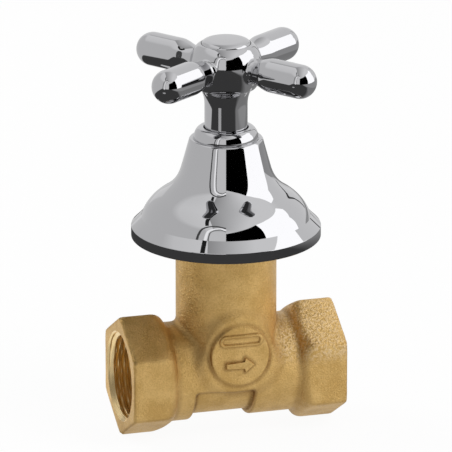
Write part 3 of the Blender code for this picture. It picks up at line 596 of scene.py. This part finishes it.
skinLook = {
    "creaseReach": 1.2,
    "creaseFull": 0.65,             # how far short the field falls in a full crease
    "wornLeft": (9.0, 3.0),         # where it starts towards -X, and over what length
    "wornEnd": -15.2,
    "wornAbove": (10.0, 4.0),
    "wornBelow": (-40.0, 8.0),      # measured downwards
    "coarseRight": (10.0, 4.0),
    "coarseAbove": (3.0, 4.0),
}


def ramp(value, edge):
    start, length = edge
    return np.clip((value - start) / length, 0, 1)


def creaseShadeShares(points):
    # The share of painted shade at a point. Moved outwards over a crease, a point comes less far
    # off the surface than it moved.
    slope = slopes(bodyField, points)
    slope /= np.maximum(np.linalg.norm(slope, axis=1), 1e-6)[:, None]
    reach = skinLook["creaseReach"]
    outward = bodyField(points + reach * slope)
    return np.clip((reach - outward) / skinLook["creaseFull"], 0, 1)


castMarks = {
    "oblong": (0.2, 13.0, 12.4, 2.8),   # across, height, width, how tall
    "ridge": 0.48,
    "ridgeSink": 0.1,
    "arrow": (-0.2, 5.4, 8.6, 4.6),
    "head": 0.62,                       # its length for its height
    "shaft": 1.7,
    "rise": 0.6,
    "root": 0.5,
    "bevel": 0.15,
    "base": 0.13,                       # above the pad's face
    "shadow": (1.0, 0.5, 0.6),          # width, softness, darkness
}


def arrowCorners():
    across, height, width, tall = castMarks["arrow"]
    tail, tip = across - width / 2, across + width / 2
    neck = tip - tall * castMarks["head"]
    half = castMarks["shaft"] / 2
    return [(tail, height - half), (neck, height - half), (neck, height - tall / 2), (tip, height),
            (neck, height + tall / 2), (neck, height + half), (tail, height + half)]


def markShadows(places):
    # Painted shadow beside the marks, on the pad towards -Y.
    x, y, z = places.T
    across, height, width, tall = castMarks["oblong"]
    beside = np.maximum(np.abs(x - across) - (width - tall) / 2, 0)
    oblong = np.hypot(beside, z - height) - tall / 2
    corners = arrowCorners()
    arrow = outlineDistance(x, z, corners + corners[:1])
    near = np.minimum(np.abs(oblong), np.maximum(arrow, 0) + 2.0 * (arrow < -0.4))
    wide, soft, dark = castMarks["shadow"]
    return np.where(y < 0, dark * np.clip((wide - near) / soft, 0, 1), 0)


def buildMarks():
    # A blank raised oblong and a plain flow arrow on the pad towards -Y.
    marks = castMarks
    face = bodyForm["padFace"] + marks["base"]
    across, height, width, tall = marks["oblong"]
    end = tall / 2
    path = arc((across + width / 2 - end, height), (end, end), -90, 90, 16)
    path += arc((across - width / 2 + end, height), (end, end), 90, 270, 16)
    section = arc((0, -marks["ridgeSink"]), (marks["ridge"], marks["ridge"]), 0, 330, 11)
    bm = bmesh.new()
    rings = []
    for i, (x, z) in enumerate(path):
        before, after = path[i - 1], path[(i + 1) % len(path)]
        out = Vector((after[1] - before[1], before[0] - after[0])).normalized()
        rings.append([
            bm.verts.new(Vector((x + out.x * side, -face - lift, z + out.y * side)) * mm)
            for side, lift in section])
    for i, ring in enumerate(rings):
        following = rings[(i + 1) % len(rings)]
        for j in range(len(section)):
            k = (j + 1) % len(section)
            bm.faces.new((ring[j], ring[k], following[k], following[j]))
    sides = [[bm.verts.new(Vector((x, -face + lift, z)) * mm) for x, z in arrowCorners()]
             for lift in (marks["root"], -marks["rise"])]
    top = bm.faces.new(sides[1])
    bm.faces.new(sides[0])
    for i in range(len(sides[0])):
        j = (i + 1) % len(sides[0])
        bm.faces.new((sides[0][i], sides[0][j], sides[1][j], sides[1][i]))
    bmesh.ops.bevel(bm, geom=top.edges[:], offset=marks["bevel"] * mm, segments=3,
                    affect="EDGES")
    bmesh.ops.recalc_face_normals(bm, faces=bm.faces)
    made = newObject("castMarks", bm, forged)
    shade(made, 40)
    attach(made, "body")
    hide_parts("valve_body")


def buildBody():
    body = roughBody()
    places = grownForm(body, bodyField, bodyForm["voxel"])
    look = skinLook
    x, y, z = places.T
    # Shares of painted shade in the creases and of painted shadow beside the marks
    creaseShade = np.maximum(creaseShadeShares(places), markShadows(places))
    worn = (ramp(-x, look["wornLeft"]) * (y < 0) * (x > look["wornEnd"])
            * ramp(z, look["wornAbove"]) * ramp(-z, look["wornBelow"]))
    # The coarse skin on the upper right, whose pebble tops also get painted glints
    coarseAndGlints = ramp(x, look["coarseRight"]) * ramp(z, look["coarseAbove"])
    for name, share in (("creaseShade", creaseShade), ("worn", worn), ("coarseAndGlints", coarseAndGlints)):
        layer = body.data.attributes.new(name, "FLOAT", "POINT")
        layer.data.foreach_set("value", share)
    carve(body, portTool(-1), portTool(1), *waterwayTools())
    shade(body)
    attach(body, "body")
    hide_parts("valve_body")
    print("forged body made:", len(body.data.polygons), "faces")
    return body


forgedBody = buildBody()
buildMarks()


# Bell escutcheon

bellForm = {
    "rimHeight": 41.35,
    "rimRadius": 28.15,
    "lip": 3.3,
    "edge": 0.3,
    "rimRound": 0.15,
    "domeFoot": (25.1, 6.1, -0.40),     # radius, height above the rim's foot, slope
    "domeEnd": (19.3, 13.2, -1.55),
    "waist": (12.75, 23.1),
    "shoulder": (11.0, 29.4),
    "shoulderRound": 0.9,
    "ringRadius": 9.6,
    "ringHeight": 3.5,
    "height": 33.6,
    "neckHole": 6.68,
    "holeRound": (0.25, 1.0),           # radius, depth of the straight part
    "ringFlat": 0.5,
    "bushHole": 7.48,
    "bushTop": 31.7,
    "roof": 28.8,
    "collar": (9.3, 16.4, 20.5),        # radius, foot, top
    "wall": 1.4,
}


def insetLine(outline, wall):
    # The outline of a wall's inner side: each point moved inwards, square to its two sides.
    points = np.array(outline)
    along = np.diff(points, axis=0)
    normals = np.stack((along[:, 1], -along[:, 0]), axis=1)
    normals /= np.linalg.norm(normals, axis=1)[:, None]
    before, after = np.vstack((normals[:1], normals)), np.vstack((normals, normals[-1:]))
    moves = (before + after) * (wall / (1 + (before * after).sum(axis=1)))[:, None]
    return [tuple(point) for point in points + moves]


def buildBell():
    form = bellForm
    rim = form["rimHeight"]

    def aboveRim(place):
        return place[0], rim + place[1]

    waist, shoulder = aboveRim(form["waist"]), aboveRim(form["shoulder"])
    domeFoot, domeEnd = aboveRim(form["domeFoot"]), aboveRim(form["domeEnd"])
    slope, footSlope = form["domeEnd"][2], form["domeFoot"][2]
    taper = (shoulder[0] - waist[0]) / (shoulder[1] - waist[1])
    top = rim + form["height"]
    hole = form["neckHole"]
    ring, ringHeight = form["ringRadius"], form["ringHeight"]
    rounding = form["shoulderRound"]
    flare = flowing(waist, taper, domeEnd, slope, 28)
    flare += flowing(domeEnd, slope, domeFoot, footSlope, 32)
    small, deep = form["holeRound"]
    flat, foot = form["ringFlat"], form["rimRound"]
    outline = [(hole, top - deep), (hole, top - small)]
    outline += arc((hole + small, top - small), (small, small), 180, 90, 3)[1:]
    outline += arc((hole + flat, top - ringHeight), (ring - hole - flat, ringHeight), 90, 0, 18)[1:]
    outline += arc((shoulder[0] - rounding, shoulder[1]), (rounding, rounding), 96, 14, 10)
    outline += flowing(outline[-1], taper, waist, taper, 6) + flare
    edge, radius = form["edge"], form["rimRadius"]
    lip = rim + form["lip"]
    outline += arc((radius - edge, lip - edge), (edge, edge), 45, 0, 4)
    outline += arc((radius - foot, rim + foot), (foot, foot), 0, -90, 3)

    outer = [shoulder, waist] + flare + [(radius, lip - edge), (radius, rim)]
    inner = insetLine(outer, form["wall"])
    inner = inner[:-1] + [(inner[-1][0], rim)]
    inner.reverse()
    collar, low, high = form["collar"][0], rim + form["collar"][1], rim + form["collar"][2]
    roof = rim + form["roof"]

    def innerRadius(height):
        radii, heights = zip(*inner)
        return float(np.interp(height, heights, radii))

    line = [point for point in inner if point[1] < low]
    line += [(innerRadius(low), low), (collar, low), (collar, high), (innerRadius(high), high)]
    line += [point for point in inner if high < point[1] < roof]
    bush, bushTop = form["bushHole"], rim + form["bushTop"]
    line += [(innerRadius(roof), roof), (bush, roof), (bush, bushTop), (hole, bushTop)]
    bell = spun("bellEscutcheon", outline + line, chrome, 256, closed=True)
    shade(bell, 22)
    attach(bell, "body")
    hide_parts("bell_escutcheon")
    print("bell made:", len(bell.data.polygons), "faces")


buildBell()


# Cross handle and its cap

handleForm = {
    "turn": 35.8,
    "armHeight": 93.8,
    "reach": 32.3,
    "armRadius": 5.05,
    "waistRadius": 3.7,
    "waistAt": 11.2,
    "swellEnd": 17.6,
    "hubFlat": 6.4,
    "hubTop": 100.8,
    "hubMiddle": 94.0,
    "hubRadius": 10.8,
    "underside": 87.2,
    "flareRadius": 8.8,
    "flareStart": 81.9,
    "neckRadius": 6.38,
    "neckBottom": 70.05,
    "fillet": 0.9,
    "voxel": 0.3,
}


def hubOutline():
    form = handleForm
    swell = form["hubRadius"] - form["hubFlat"]
    meeting = -math.degrees(math.acos((form["flareRadius"] - form["hubFlat"]) / swell))
    depth = (form["hubMiddle"] - form["underside"]) / math.sin(math.radians(-meeting))
    outline = [(0, form["hubTop"])]
    middle = form["hubFlat"], form["hubMiddle"]
    outline += arc(middle, (swell, form["hubTop"] - form["hubMiddle"]), 90, 0, 14)
    outline += arc(middle, (swell, depth), 0, meeting, 12)[1:]
    flare = form["flareRadius"] - form["neckRadius"], form["underside"] - form["flareStart"]
    outline += arc((form["flareRadius"], form["flareStart"]), flare, 90, 180, 12)[1:]
    outline += [(form["neckRadius"], form["neckBottom"]), (0, form["neckBottom"])]
    return outline


def armOutline():
    # Radius and distance from the spindle axis, from the tip inwards.
    form = handleForm
    thick, waist = form["armRadius"], form["waistRadius"]
    outline = arc((0, form["reach"] - thick), (thick, thick), 90, 0, 16)
    for i in range(13):
        share = i / 12
        swell = (1 + math.cos(math.pi * share)) / 2
        outline.append((waist + (thick - waist) * swell,
                        form["swellEnd"] + (form["waistAt"] - form["swellEnd"]) * share))
    return outline + [(waist, 4.0), (0, 4.0)]


hubLine, armLine = hubOutline(), armOutline()


def handleField(points):
    form = handleForm
    turn = math.radians(form["turn"])
    x = points[:, 0] * math.cos(turn) + points[:, 1] * math.sin(turn)
    y = points[:, 1] * math.cos(turn) - points[:, 0] * math.sin(turn)
    z = points[:, 2]
    handle = outlineDistance(np.hypot(x, y), z, hubLine)
    x, y = np.maximum(np.abs(x), np.abs(y)), np.minimum(np.abs(x), np.abs(y))
    arm = outlineDistance(np.hypot(y, z - form["armHeight"]), x, armLine)
    return softMin(handle, arm, form["fillet"])


def roughHandle():
    form = handleForm
    bm = bmesh.new()
    cylinder(bm, form["neckRadius"], form["neckBottom"], form["hubTop"] - 2)
    cylinder(bm, form["hubFlat"] + 1, form["underside"] + 1, form["hubTop"])
    for turn in (0, 90):
        arms = bmesh.new()
        reach = form["reach"] - 1
        cylinder(arms, form["waistRadius"] + 0.7, -reach, reach, "X", 48,
                 centre=(0, 0, form["armHeight"]))
        spin = Matrix.Rotation(math.radians(form["turn"] + turn), 4, "Z")
        bmesh.ops.transform(arms, matrix=spin, verts=arms.verts)
        mesh = bpy.data.meshes.new("arms")
        arms.to_mesh(mesh)
        bm.from_mesh(mesh)
        bpy.data.meshes.remove(mesh)
    return newObject("crossHandle", bm, chrome)


capForm = {
    "radius": 7.3,
    "top": 101.85,
    "flat": 4.8,
    "fall": 1.5,
    "crown": 0.12,
    "thickness": 2.4,
    "plug": (4.5, 2.6),
    "seatGap": (0.12, 0.3),     # round the cap, under it
}


def buildHandle():
    handle = roughHandle()
    grownForm(handle, handleField, handleForm["voxel"], rounds=8)
    cap = capForm
    aside, under = cap["seatGap"]
    seat = cap["top"] - cap["thickness"] - under
    bm = bmesh.new()
    cylinder(bm, cap["radius"] + aside, seat, cap["top"] + 3, segments=192)
    carve(handle, newObject("capSeatTool", bm, chrome))
    shade(handle, 50)
    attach(handle, "handle")
    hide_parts("cross_handle")
    print("handle made:", len(handle.data.polygons), "faces")

    flat, bottom = cap["flat"], cap["top"] - cap["thickness"]
    outline = [(flat * share, cap["top"] - cap["crown"] * share ** 2)
               for share in (0, 0.25, 0.5, 0.75)]
    rounding = cap["radius"] - flat, cap["fall"] - cap["crown"]
    outline += arc((flat, cap["top"] - cap["fall"]), rounding, 90, 0, 16)
    plug, length = cap["plug"]
    outline += [(cap["radius"], bottom), (plug, bottom)]
    outline += [(plug, bottom - length), (0, bottom - length)]
    made = spun("indexCap", outline, chrome, 160)
    shade(made, 50)
    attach(made, "handle")
    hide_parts("index_cap")


buildHandle()


# The model's own pieces that stay

def coatNodes():
    coats = {
        spindleTurned: ("bonnet", "packing_washer", "gland_ring", "gland_nut", "jumper",
                        "washer_plate", "washer_nut", "spindle", "splined_insert"),
        rubber: ("rim_gasket", "seat_washer"),
        graphite: ("packing_ring_1", "packing_ring_2"),
        nylon: ("neck_bush",),
        fibre: ("bonnet_gasket",),
        steel: ("handle_screw", "lock_washer"),
    }
    for finish, names in coats.items():
        for name in names:
            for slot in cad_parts[name].material_slots:
                slot.material = finish


coatNodes()
print("inner pieces coated")


# Camera

cameraPlace = {
    "azimuth": -16.5,
    "elevation": 18.3,
    "distance": 2.0,
    "aim": 43.92,
    "width": 134.06,
    "sensor": 36,
}


def placeCamera():
    place = cameraPlace
    azimuth, elevation = math.radians(place["azimuth"]), math.radians(place["elevation"])
    flat = math.cos(elevation)
    back = Vector((math.sin(azimuth) * flat, -math.cos(azimuth) * flat, math.sin(elevation)))
    lens = bpy.data.cameras.new("camera")
    lens.sensor_width = place["sensor"]
    lens.lens = place["sensor"] * place["distance"] / (place["width"] * mm)
    lens.clip_end = 20
    camera = bpy.data.objects.new("camera", lens)
    scene.collection.objects.link(camera)
    camera.location = Vector((0, 0, place["aim"] * mm)) + back * place["distance"]
    camera.rotation_mode = "QUATERNION"
    camera.rotation_quaternion = (-back).to_track_quat("-Z", "Y")
    scene.camera = camera


placeCamera()


# Floor, cards and lights. Turns are from the camera's side to the right.

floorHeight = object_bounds()[0][2] - 0.00002


def heading(turn, rise=0.0):
    angle = math.radians(cameraPlace["azimuth"] + turn)
    lift = math.radians(rise)
    flat = math.cos(lift)
    return Vector((math.sin(angle) * flat, -math.cos(angle) * flat, math.sin(lift)))


def glow(name, strength):
    finish = bpy.data.materials.new(name)
    finish.use_nodes = True
    tree = finish.node_tree
    tree.nodes.clear()
    light = addNode(tree, "ShaderNodeEmission", {"Color": (1, 1, 1, 1), "Strength": strength})
    addNode(tree, "ShaderNodeOutputMaterial", {0: light.outputs[0]})
    return finish, tree, light


def onlyInReflections(made):
    made.visible_camera = False
    made.visible_diffuse = False
    made.visible_shadow = False


skyCentre, skyRadius = Vector((0, 0, 0.06)), 0.9


def skyCard(name, columns, brightness):
    # A curved studio card from columns of (turn, lowest rise, highest rise).
    bm = bmesh.new()
    rows = []
    for (turn, low, high), (nextTurn, nextLow, nextHigh) in zip(columns, columns[1:]):
        steps = max(1, int(abs(nextTurn - turn) / 4))
        for i in range(steps + (nextTurn == columns[-1][0])):
            share = i / steps
            bottom, top = low + (nextLow - low) * share, high + (nextHigh - high) * share
            at = turn + (nextTurn - turn) * share
            rises = [bottom + (top - bottom) * j / 12 for j in range(13)]
            rows.append([bm.verts.new(skyCentre + heading(at, rise) * skyRadius)
                         for rise in rises])
    for left, right in zip(rows, rows[1:]):
        for j in range(12):
            bm.faces.new((left[j], right[j], right[j + 1], left[j + 1]))
    made = newObject(name, bm, glow(name, brightness)[0])
    onlyInReflections(made)


def skyTape(name, path, brightness, radius=0.88):
    # A strip of tape along a path of (turn, rise, width), all in degrees.
    bm = bmesh.new()
    rows = []
    for i, (turn, rise, width) in enumerate(path):
        before, after = path[max(i - 1, 0)], path[min(i + 1, len(path) - 1)]
        flatten = math.cos(math.radians(rise))
        along = Vector(((after[0] - before[0]) * flatten, after[1] - before[1])).normalized()
        aside = Vector((-along.y / flatten, along.x)) * width / 2
        ends = [heading(turn + aside.x * k, rise + aside.y * k) for k in (-1, 1)]
        rows.append([bm.verts.new(skyCentre + end * radius) for end in ends])
    for first, second in zip(rows, rows[1:]):
        bm.faces.new((first[0], second[0], second[1], first[1]))
    made = newObject(name, bm, glow(name, brightness)[0])
    onlyInReflections(made)


def cloth(name, height, inner, outer, finish):
    bm = bmesh.new()
    rows = []
    for radius in np.geomspace(inner, outer, 8):
        rows.append([bm.verts.new((radius * math.cos(a), radius * math.sin(a), height))
                     for a in np.linspace(0, 2 * math.pi, 73)[:-1]])
    for near, far in zip(rows, rows[1:]):
        for i in range(72):
            j = (i + 1) % 72
            bm.faces.new((near[i], far[i], far[j], near[j]))
    onlyInReflections(newObject(name, bm, finish))


def strip(name, near, far, start, end, brightness):
    # A pale strip between two turns, from one (radius, height) to another.
    bm = bmesh.new()
    rows = [[bm.verts.new(heading(turn) * radius + Vector((0, 0, height)))
             for radius, height in (near, far)] for turn in np.linspace(start, end, 13)]
    for left, right in zip(rows, rows[1:]):
        bm.faces.new((left[0], left[1], right[1], right[0]))
    onlyInReflections(newObject(name, bm, glow(name, brightness)[0]))


def along(tree, turn):
    # How far a point of the set lies towards a turn, in metres.
    place = addNode(tree, "ShaderNodeTexCoord").outputs["Object"]
    return addNode(tree, "ShaderNodeVectorMath", {0: place, 1: heading(turn)},
                   operation="DOT_PRODUCT").outputs["Value"]


clothLook = {  # patches are a turn and then, along it, two distances and their brightness
    "height": 0.0368,
    "hole": 0.0292,
    "outer": 2.5,
    "right": (100, 0.085, 0.130, 0.06, 0.40),
    "behindLeft": (-135, 0.080, 0.088, 0, 0.70),
    "besideRim": (130, 0.012, 0.036, 0, 0.28),
    "under": (110, 0.022, 0.034, 0.26, 0.90),
    "pale": (50, -0.05, 0.12, 0.57, 0.69),
    "strips": (((0.118, 0.0372), (0.160, 0.0372), -40, -25, 0.55),
               ((0.056, 0.0369), (0.056, 0.0440), 120, 240, 0.70)),
    "floorStrips": ((0.045, 0.105, -150, -88, 0.95), (0.105, 0.220, 38, 66, 0.88)),
}


def makeCloths():
    # The chrome looks down on a dark cloth. The brass below it sees the cloth's pale underside
    # and a pale cloth on the floor, both brighter on the right.
    look = clothLook

    def patch(tree, name):
        turn, *levels = look[name]
        return spread(tree, along(tree, turn), *levels)

    finish, tree, light = glow("darkCloth", 1.0)
    upper = patch(tree, "right")
    for name in ("behindLeft", "besideRim"):
        upper = maths(tree, "MAXIMUM", upper, patch(tree, name))
    below = addNode(tree, "ShaderNodeNewGeometry").outputs["Backfacing"]
    tree.links.new(blended(tree, below, upper, patch(tree, "under")), light.inputs["Strength"])
    cloth("darkCloth", look["height"], look["hole"], look["outer"], finish)
    for i, shape in enumerate(look["strips"]):
        strip(f"strip{i}", *shape)
    low = floorHeight + 0.0001
    for i, (near, far, *rest) in enumerate(look["floorStrips"]):
        strip(f"floorStrip{i}", (near, low), (far, low), *rest)

    finish, tree, light = glow("paleCloth", 1.0)
    tree.links.new(patch(tree, "pale"), light.inputs["Strength"])
    cloth("paleCloth", floorHeight + 0.00003, 0.0005, look["outer"], finish)


def seenShare(tree):
    # 1 for what the camera sees, and 1 for what it, gloss or glass sees, but not plain light
    paths = addNode(tree, "ShaderNodeLightPath").outputs
    camera = paths["Is Camera Ray"]
    through = maths(tree, "MAXIMUM", paths["Is Glossy Ray"], paths["Is Transmission Ray"])
    return camera, maths(tree, "MAXIMUM", camera, through)


floorLook = {"lit": (0.9, 0.9, 0.9, 1), "white": 0.94}


def makeFloor():
    bm = bmesh.new()
    bmesh.ops.create_grid(bm, x_segments=1, y_segments=1, size=3,
                          matrix=Matrix.Translation((0, 0, floorHeight)))
    finish = bpy.data.materials.new("floor")
    finish.use_nodes = True
    tree = finish.node_tree
    tree.nodes.clear()
    seen = seenShare(tree)[1]
    lit = addNode(tree, "ShaderNodeBsdfDiffuse", {"Color": floorLook["lit"]}).outputs[0]
    white = addNode(tree, "ShaderNodeEmission", {"Color": (1, 1, 1, 1), "Strength": 1}).outputs[0]
    share = maths(tree, "MULTIPLY", seen, floorLook["white"])
    surface = addNode(tree, "ShaderNodeMixShader", {0: share, 1: lit, 2: white}).outputs[0]
    below = addNode(tree, "ShaderNodeNewGeometry").outputs["Backfacing"]
    clear = addNode(tree, "ShaderNodeBsdfTransparent").outputs[0]
    surface = addNode(tree, "ShaderNodeMixShader", {0: below, 1: surface, 2: clear}).outputs[0]
    addNode(tree, "ShaderNodeOutputMaterial", {0: surface})
    floor = newObject("floor", bm, finish)


skyLook = {  # how bright reflections see the studio, by how far aside they look
    "low": (-0.42, -0.38, 0.70, 0.84),
    "overheadFrom": (0.66, 0.76),
    "split": -0.26,
    "overheadLeft": (-1, -0.26, 0.78, 0.95),
    "overheadRight": (-0.26, 0.40, 0.42, 0.95),
    "plainLight": 0.6,
}


def makeWorld():
    world = bpy.data.worlds.new("studio")
    scene.world = world
    world.use_nodes = True
    tree = world.node_tree
    tree.nodes.clear()
    look = skyLook
    camera, seen = seenShare(tree)
    # In reflections the studio is darker low on the left and above the panel in front.
    towards = addNode(tree, "ShaderNodeTexCoord").outputs["Generated"]
    aside = addNode(tree, "ShaderNodeVectorMath", {0: towards, 1: heading(90)},
                    operation="DOT_PRODUCT").outputs["Value"]
    upwards = addNode(tree, "ShaderNodeSeparateXYZ", {0: towards}).outputs["Z"]
    overhead = blended(tree, maths(tree, "GREATER_THAN", aside, look["split"]),
                       spread(tree, aside, *look["overheadLeft"]),
                       spread(tree, aside, *look["overheadRight"]))
    studio = blended(tree, spread(tree, upwards, *look["overheadFrom"], 0, 1),
                     spread(tree, aside, *look["low"]), overhead)
    strength = blended(tree, seen, look["plainLight"], studio)
    strength = maths(tree, "MAXIMUM", strength, camera)
    sky = addNode(tree, "ShaderNodeBackground", {"Color": (1, 1, 1, 1), "Strength": strength})
    addNode(tree, "ShaderNodeOutputWorld", {0: sky.outputs[0]})


def areaLamp(name, turn, rise, distance, size, power):
    data = bpy.data.lights.new(name, "AREA")
    data.shape = "RECTANGLE"
    data.size, data.size_y = size
    data.energy = power
    lamp = bpy.data.objects.new(name, data)
    scene.collection.objects.link(lamp)
    aim = Vector((0, 0, 0.035))
    lamp.location = aim + heading(turn, rise) * distance
    lamp.rotation_mode = "QUATERNION"
    lamp.rotation_quaternion = (aim - lamp.location).to_track_quat("-Z", "Y")
    return lamp


def panelPath(width, top, turn, rounding):
    # A tape's path up one side of the pale panel, round its corner and along its top.
    path = [(turn, -4, width), (turn, top - rounding, width)]
    for i in range(1, 7):
        a = math.radians(15 * i)
        path.append((turn + rounding * (1 - math.cos(a)) * 1.4,
                     top - rounding + rounding * math.sin(a), width))
    return path + [(0, top - 5, width)]


studioCards = {  # columns, brightness
    "blackFlag": ([(0, -3, 36), (56, -3, 49.5)], 0.0),
    "whiteCard": ([(56, -3, 49.5), (81, -3, 50), (112, -3, 47), (112.5, 26, 47), (127, 38, 45.5)],
                  1.72),
}
studioTapes = {  # path, brightness, and a radius where it isn't the usual one
    "panelSeam": (panelPath(1.4, 46, -24.5, 12), 0.12),
    "panelEdge": (panelPath(3.4, 50, -28.5, 14), 1.35),
    "topBar": ([(-37, 54, 4.0), (-44.7, 61.8, 4.0), (-53.4, 67.7, 4.0), (-66, 74, 4.0)], 0.02),
    "panelShade": (panelPath(3.0, 56, -40, 16), 0.08, 0.89),
    "rearSeam": ([(152, -3, 2.0), (153, 14, 2.0), (148, 30, 1.4)], 0.06),
}
studioLamps = {  # turn, rise, distance, size, power
    "keyLamp": (62, 40, 1.0, (0.5, 0.5), 3.5),
    "fillLamp": (-120, 25, 1.1, (0.5, 0.6), 5),
}


makeFloor()
makeWorld()
makeCloths()
for name, card in studioCards.items():
    skyCard(name, *card)
for name, tape in studioTapes.items():
    skyTape(name, *tape)
brassOnly = bpy.data.collections.new("brassOnly")
for lit in (forgedBody, bpy.data.objects["floor"]):
    brassOnly.objects.link(lit)
for name, values in studioLamps.items():
    areaLamp(name, *values).light_linking.receiver_collection = brassOnly
scene.view_settings.view_transform = "Standard"
print("studio set")
